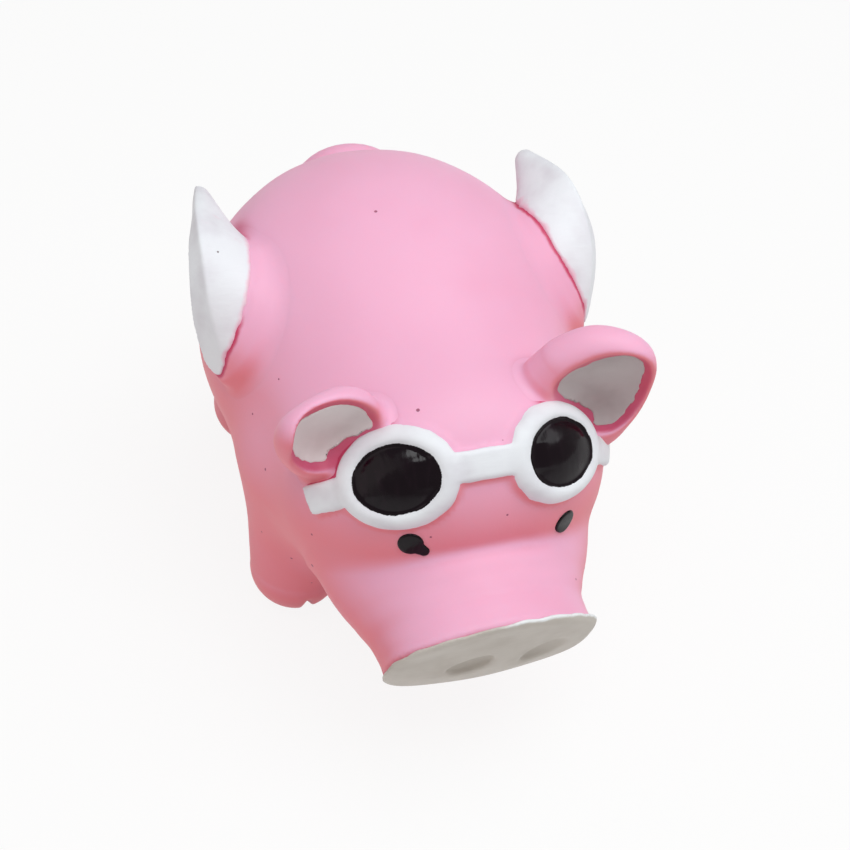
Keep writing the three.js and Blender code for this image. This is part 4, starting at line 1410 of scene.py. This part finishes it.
@dataclass
class Face:
    """The painted face: goggle frame, lenses, eyes and nose."""

    body: Body
    eyes: tuple[Triple, Triple] = ((16.8, -45.4, 48.2), (-13.3, -46.4, 50.9))
    eye_radius: float = 2.4
    smear: Triple = (-11.0, -47.4, 49.4)
    smear_radius: float = 1.1
    smear_root: float = 2.0
    nose_lap: float = 0.68
    nose_lap_slope: float = 0.038
    nose_lap_least: float = 0.5
    nose_middle: float = 0.8
    nose_back: float = 8.0
    bead_line: float = 0.35
    bead_width: float = 0.45
    bead_side: tuple[float, float] = (-6.0, 2.0)
    bead_up: tuple[float, float] = (2.0, 6.0)

    def __post_init__(self) -> None:
        """Draws the brushed edges."""
        self.wobble = Waves(51, 5.0)
        self.fray = Waves(52, 1.5)

    def eye_edge(self, points: Array) -> Array:
        """Distances from the edge of the two eye dots."""
        away = [np.linalg.norm(points - np.asarray(eye), axis=1) for eye in self.eyes]
        smear = limb(points, self.eyes[1], self.smear, self.smear_root, self.smear_radius)
        dots = np.minimum(*away) - self.eye_radius
        return np.minimum(dots, smear) + 0.05 * self.wobble(points)

    def nose_edge(self, points: Array) -> Array:
        """Distances from the edge of the white nose."""
        muzzle = self.body.muzzle
        local = muzzle.from_tip(points)
        ahead = muzzle.face(points)
        lap = np.maximum(self.nose_lap + self.nose_lap_slope * local[:, 0], self.nose_lap_least)
        rim = -(ahead + lap) + 0.14 * self.wobble(points) + 0.02 * self.fray(points)
        reach, tall = muzzle.outline(local)
        middle = (reach - self.nose_middle) * tall
        return np.maximum(np.minimum(rim, middle), local[:, 1] - self.nose_back)

    def nose_bead(self, points: Array) -> Array:
        """How much paint has gathered in a bead along the nose's upper edge, up to 1: a raised bead that also
        gets a painted highlight.
        """
        local = self.body.muzzle.from_tip(points)
        edge = np.exp(-(((self.nose_edge(points) + self.bead_line) / self.bead_width) ** 2))
        side = np.interp(local[:, 0], self.bead_side, (0.0, 1.0))
        return edge * side * np.interp(local[:, 2], self.bead_up, (0.0, 1.0))

    def build(self, finishes: Finishes) -> None:
        """Makes and dresses the films."""
        goggles = self.body.goggles
        moulding = self.body.moulding
        pairs = [f"goggle_{part}_{side.word}" for part in ("rim", "strap") for side in Side]
        names = ("goggle_bridge", *pairs)
        low, high = (-36.0, -52.0, 46.0), (36.0, -24.0, 76.0)
        PaintedFilm("goggle_frame", names, moulding, goggles.frame_paint, low, high, 0.4).build(
            finishes.white, "white_paint"
        )
        for side in Side:
            near, far = sorted((side.value * 3.0, side.value * 29.0))
            node = f"goggle_lens_{side.word}"
            name, low, high = f"lens_film_{side.word}", (near, -54.0, 50.0), (far, -30.0, 76.0)
            PaintedFilm(name, (node,), moulding, goggles.lens_paint, low, high, 0.3, 0.32).build(
                finishes.black, "black_paint"
            )
            eye = self.eyes[0] if side is Side.LEFT else self.eyes[1]
            node = f"eye_{side.word}"
            box = [tuple(c + s * 5.0 for c in eye) for s in (-1.0, 1.0)]
            name = f"eye_film_{side.word}"
            PaintedFilm(name, (node,), moulding, self.eye_edge, box[0], box[1], 0.18, 0.34, 0.6, 0.5).build(
                finishes.black, "black_paint"
            )
        low, high = (-23.0, -68.0, 10.0), (23.0, -42.0, 50.0)
        nose = PaintedFilm("nose_film", ("nose_disc",), moulding, self.nose_edge, low, high, 0.42, 0.35)
        nose.bead = self.nose_bead
        # The nose gets the painted-shade copy of the white paint.
        nose.build(finishes.shaded_white, "white_paint")


# Inside


@dataclass
class Stuffing:
    """Loose fibre that fills trunk, head and muzzle and leaves room for the squeaker."""

    body: Body
    inset: float = 3.0
    room_radius: float = 9.6
    room_height: float = 26.0

    def form(self, points: Array) -> Array:
        """Distances to the fibre."""
        both = np.column_stack([np.abs(points[:, 0]), points[:, 1:]])
        tuft = Waves(61, 6.0)(points)
        away = np.hypot(points[:, 0], points[:, 1] - self.body.trunk_centre[1])
        room = np.maximum(away - self.room_radius, points[:, 2] - self.room_height)
        return smooth_max(self.body.core(both) + self.inset + 0.25 * tuft, -room, 1.5)

    def build(self, finishes: Finishes) -> None:
        corners, quads = Lattice((-40.0, -62.0, 8.0), (40.0, 60.0, 80.0), 1.8).mesh(self.form)
        piece = make_piece("stuffing", corners, quads)
        dress(piece, finishes.fibre)
        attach(piece, "pig")
        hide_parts("trunk_filling", "head_filling")


@dataclass
class Squeaker:
    """The squeaker's insides, which keep their solids."""

    def build(self, nodes: Mapping[str, bpy.types.Object], finishes: Finishes) -> None:
        """Dresses the solids of the squeaker."""
        for name in ("squeaker_barrel", "squeaker_reed_block", "squeaker_cap"):
            dress(nodes[name], finishes.plastic)
        dress(nodes["squeaker_reed"], finishes.amber)


# Studio


@dataclass
class Studio:
    """A pale floor, soft light and the camera."""

    eye: Triple = (-82.8, -217.9, 265.6)
    aim: Triple = (8.24, 6.8, 23.47)
    roll: float = 6.99
    lens: float = 67.76
    sensor: float = 36.0
    target: Triple = (0.0, 5.0, 40.0)
    floor_reach: float = 60000.0
    floor_white: float = 0.88
    sky_colour: tuple[float, float, float, float] = (1.0, 0.95, 0.93, 1.0)
    sky_strength: float = 0.42

    def camera(self) -> None:
        """Places the camera at the photograph's viewing angle."""
        data = bpy.data.cameras.new("camera")
        data.lens = self.lens
        data.sensor_width = self.sensor
        data.clip_start = 0.01
        data.clip_end = 200.0
        camera = bpy.data.objects.new("camera", data)
        bpy.context.scene.collection.objects.link(camera)
        ahead = unit(np.subtract(self.aim, self.eye))
        right = unit(np.cross(ahead, (0.0, 0.0, 1.0)))
        up = np.cross(right, ahead)
        turn = math.radians(self.roll)
        level = math.cos(turn) * right + math.sin(turn) * up
        upright = math.cos(turn) * up - math.sin(turn) * right
        columns = [*level, *upright, *(-ahead)]
        place = Matrix([[columns[i], columns[3 + i], columns[6 + i]] for i in range(3)]).to_4x4()
        place.translation = Vector(self.eye) * MM
        camera.matrix_world = place
        bpy.context.scene.camera = camera

    def lamp(self, name: str, place: Triple, size: float, power: float, colour: Triple) -> None:
        """Adds a soft square lamp that looks at the pig.

        Args:
            name: The lamp's name.
            place: Where it hangs, in mm.
            size: Length of its sides in mm.
            power: Its power in watts.
            colour: Its colour.
        """
        data = bpy.data.lights.new(name, "AREA")
        data.size = size * MM
        data.energy = power
        data.color = colour
        lamp = bpy.data.objects.new(name, data)
        lamp.location = Vector(place) * MM
        lamp.rotation_euler = (Vector(self.target) - Vector(place)).to_track_quat("-Z", "Y").to_euler()
        bpy.context.scene.collection.objects.link(lamp)

    def shown(self, tree: Tree) -> Value:
        """1 for what the camera sees straight, in a mirror or through glass."""
        path = tree.node("ShaderNodeLightPath").outputs
        seen = Value(tree, path["Is Camera Ray"]) + Value(tree, path["Is Glossy Ray"])
        return (seen + Value(tree, path["Is Transmission Ray"])).step(0.0, 1.0)

    def floor(self) -> None:
        """Lays a pale floor that keeps the pig's soft shadow."""
        reach = self.floor_reach * MM
        mesh = bpy.data.meshes.new("floor")
        square = [(-reach, -reach, 0.0), (reach, -reach, 0.0), (reach, reach, 0.0), (-reach, reach, 0.0)]
        mesh.from_pydata(square, [], [(0, 1, 2, 3)])
        floor = bpy.data.objects.new("floor", mesh)
        bpy.context.scene.collection.objects.link(floor)
        tree = Tree("pale_floor")
        matt = tree.node("ShaderNodeBsdfDiffuse", None, {"Color": srgb(238, 238, 237)})
        glow = tree.node("ShaderNodeEmission", None, {"Color": (1.0, 1.0, 1.0, 1.0), "Strength": 1.0})
        share = self.shown(tree) * self.floor_white
        mixed = tree.node("ShaderNodeMixShader", None, {0: share, 1: matt.outputs[0], 2: glow.outputs[0]})
        tree.node("ShaderNodeOutputMaterial", None, {"Surface": mixed.outputs[0]})
        mesh.materials.append(tree.owner)

    def sky(self) -> None:
        """Sets an even pale world."""
        world = bpy.data.worlds.new("studio")
        bpy.context.scene.world = world
        tree = Tree("studio", world)
        light = {"Color": self.sky_colour, "Strength": self.sky_strength}
        back = tree.node("ShaderNodeBackground", None, light)
        tree.node("ShaderNodeOutputWorld", None, {"Surface": back.outputs[0]})

    def build(self) -> None:
        """Sets up camera, floor and light."""
        self.camera()
        self.floor()
        self.sky()
        self.lamp("key", (150.0, -70.0, 620.0), 440.0, 2.05, (0.94, 0.99, 1.0))
        self.lamp("overhead", (-127.0, -156.0, 486.0), 110.0, 0.2, (0.97, 0.99, 1.0))
        self.lamp("right", (423.0, -140.0, 328.0), 170.0, 0.2, (0.95, 0.98, 1.0))
        self.lamp("left", (-420.0, -120.0, 260.0), 380.0, 0.25, (1.0, 0.93, 0.9))
        bpy.context.scene.view_settings.view_transform = "Standard"


def main() -> None:
    """Builds the studio and the pig's pieces in order."""
    logging.basicConfig(level=logging.INFO, format="%(name)s %(message)s")
    Studio().build()
    finishes = Finishes()
    body = Body(Muzzle(), Goggles())
    right_ear = Ear(
        body,
        Side.RIGHT,
        root=((19.0, -30.5, 68.0, 4.2), (23.5, -29.5, 63.8, 4.2), (27.3, -28.6, 59.2, 4.1)),
        rim=(
            (20.0, -31.2, 70.0, 3.8),
            (24.0, -33.0, 73.0, 3.8),
            (31.0, -35.6, 72.6, 3.3),
            (30.8, -32.6, 66.5, 3.6),
            (27.8, -29.6, 60.0, 3.9),
        ),
        hollow_root=((18.4, -36.2, 69.8, 3.0), (22.7, -35.2, 67.0, 3.2), (26.6, -34.1, 63.1, 2.8)),
        hollow_rim=(
            (19.0, -36.5, 71.2, 2.8),
            (24.0, -37.1, 74.7, 3.0),
            (29.3, -37.6, 73.9, 2.6),
            (29.4, -36.4, 68.0, 2.8),
            (27.0, -34.3, 63.5, 3.0),
        ),
    )
    ears = [Ear(body, Side.LEFT), right_ear]
    wings = [Wing(body, Side.LEFT), Wing(body, Side.RIGHT, seam_top=68.0)]
    tail = Tail(body)

    def whole(points: Array) -> Array:
        """Distances to the whole toy."""
        flaps = [flap.blade(points) for flap in (*ears, *wings, tail)]
        return np.minimum.reduce([body.skin(points), *flaps])

    body.build(finishes, whole)
    for ear in ears:
        ear.build(finishes, whole)
    for wing in wings:
        wing.build(finishes, whole)
    tail.build(finishes, whole)
    Face(body).build(finishes)
    Stuffing(body).build(finishes)
    Squeaker().build(frame["nodes"], finishes)


if __name__ == "__main__":
    main()
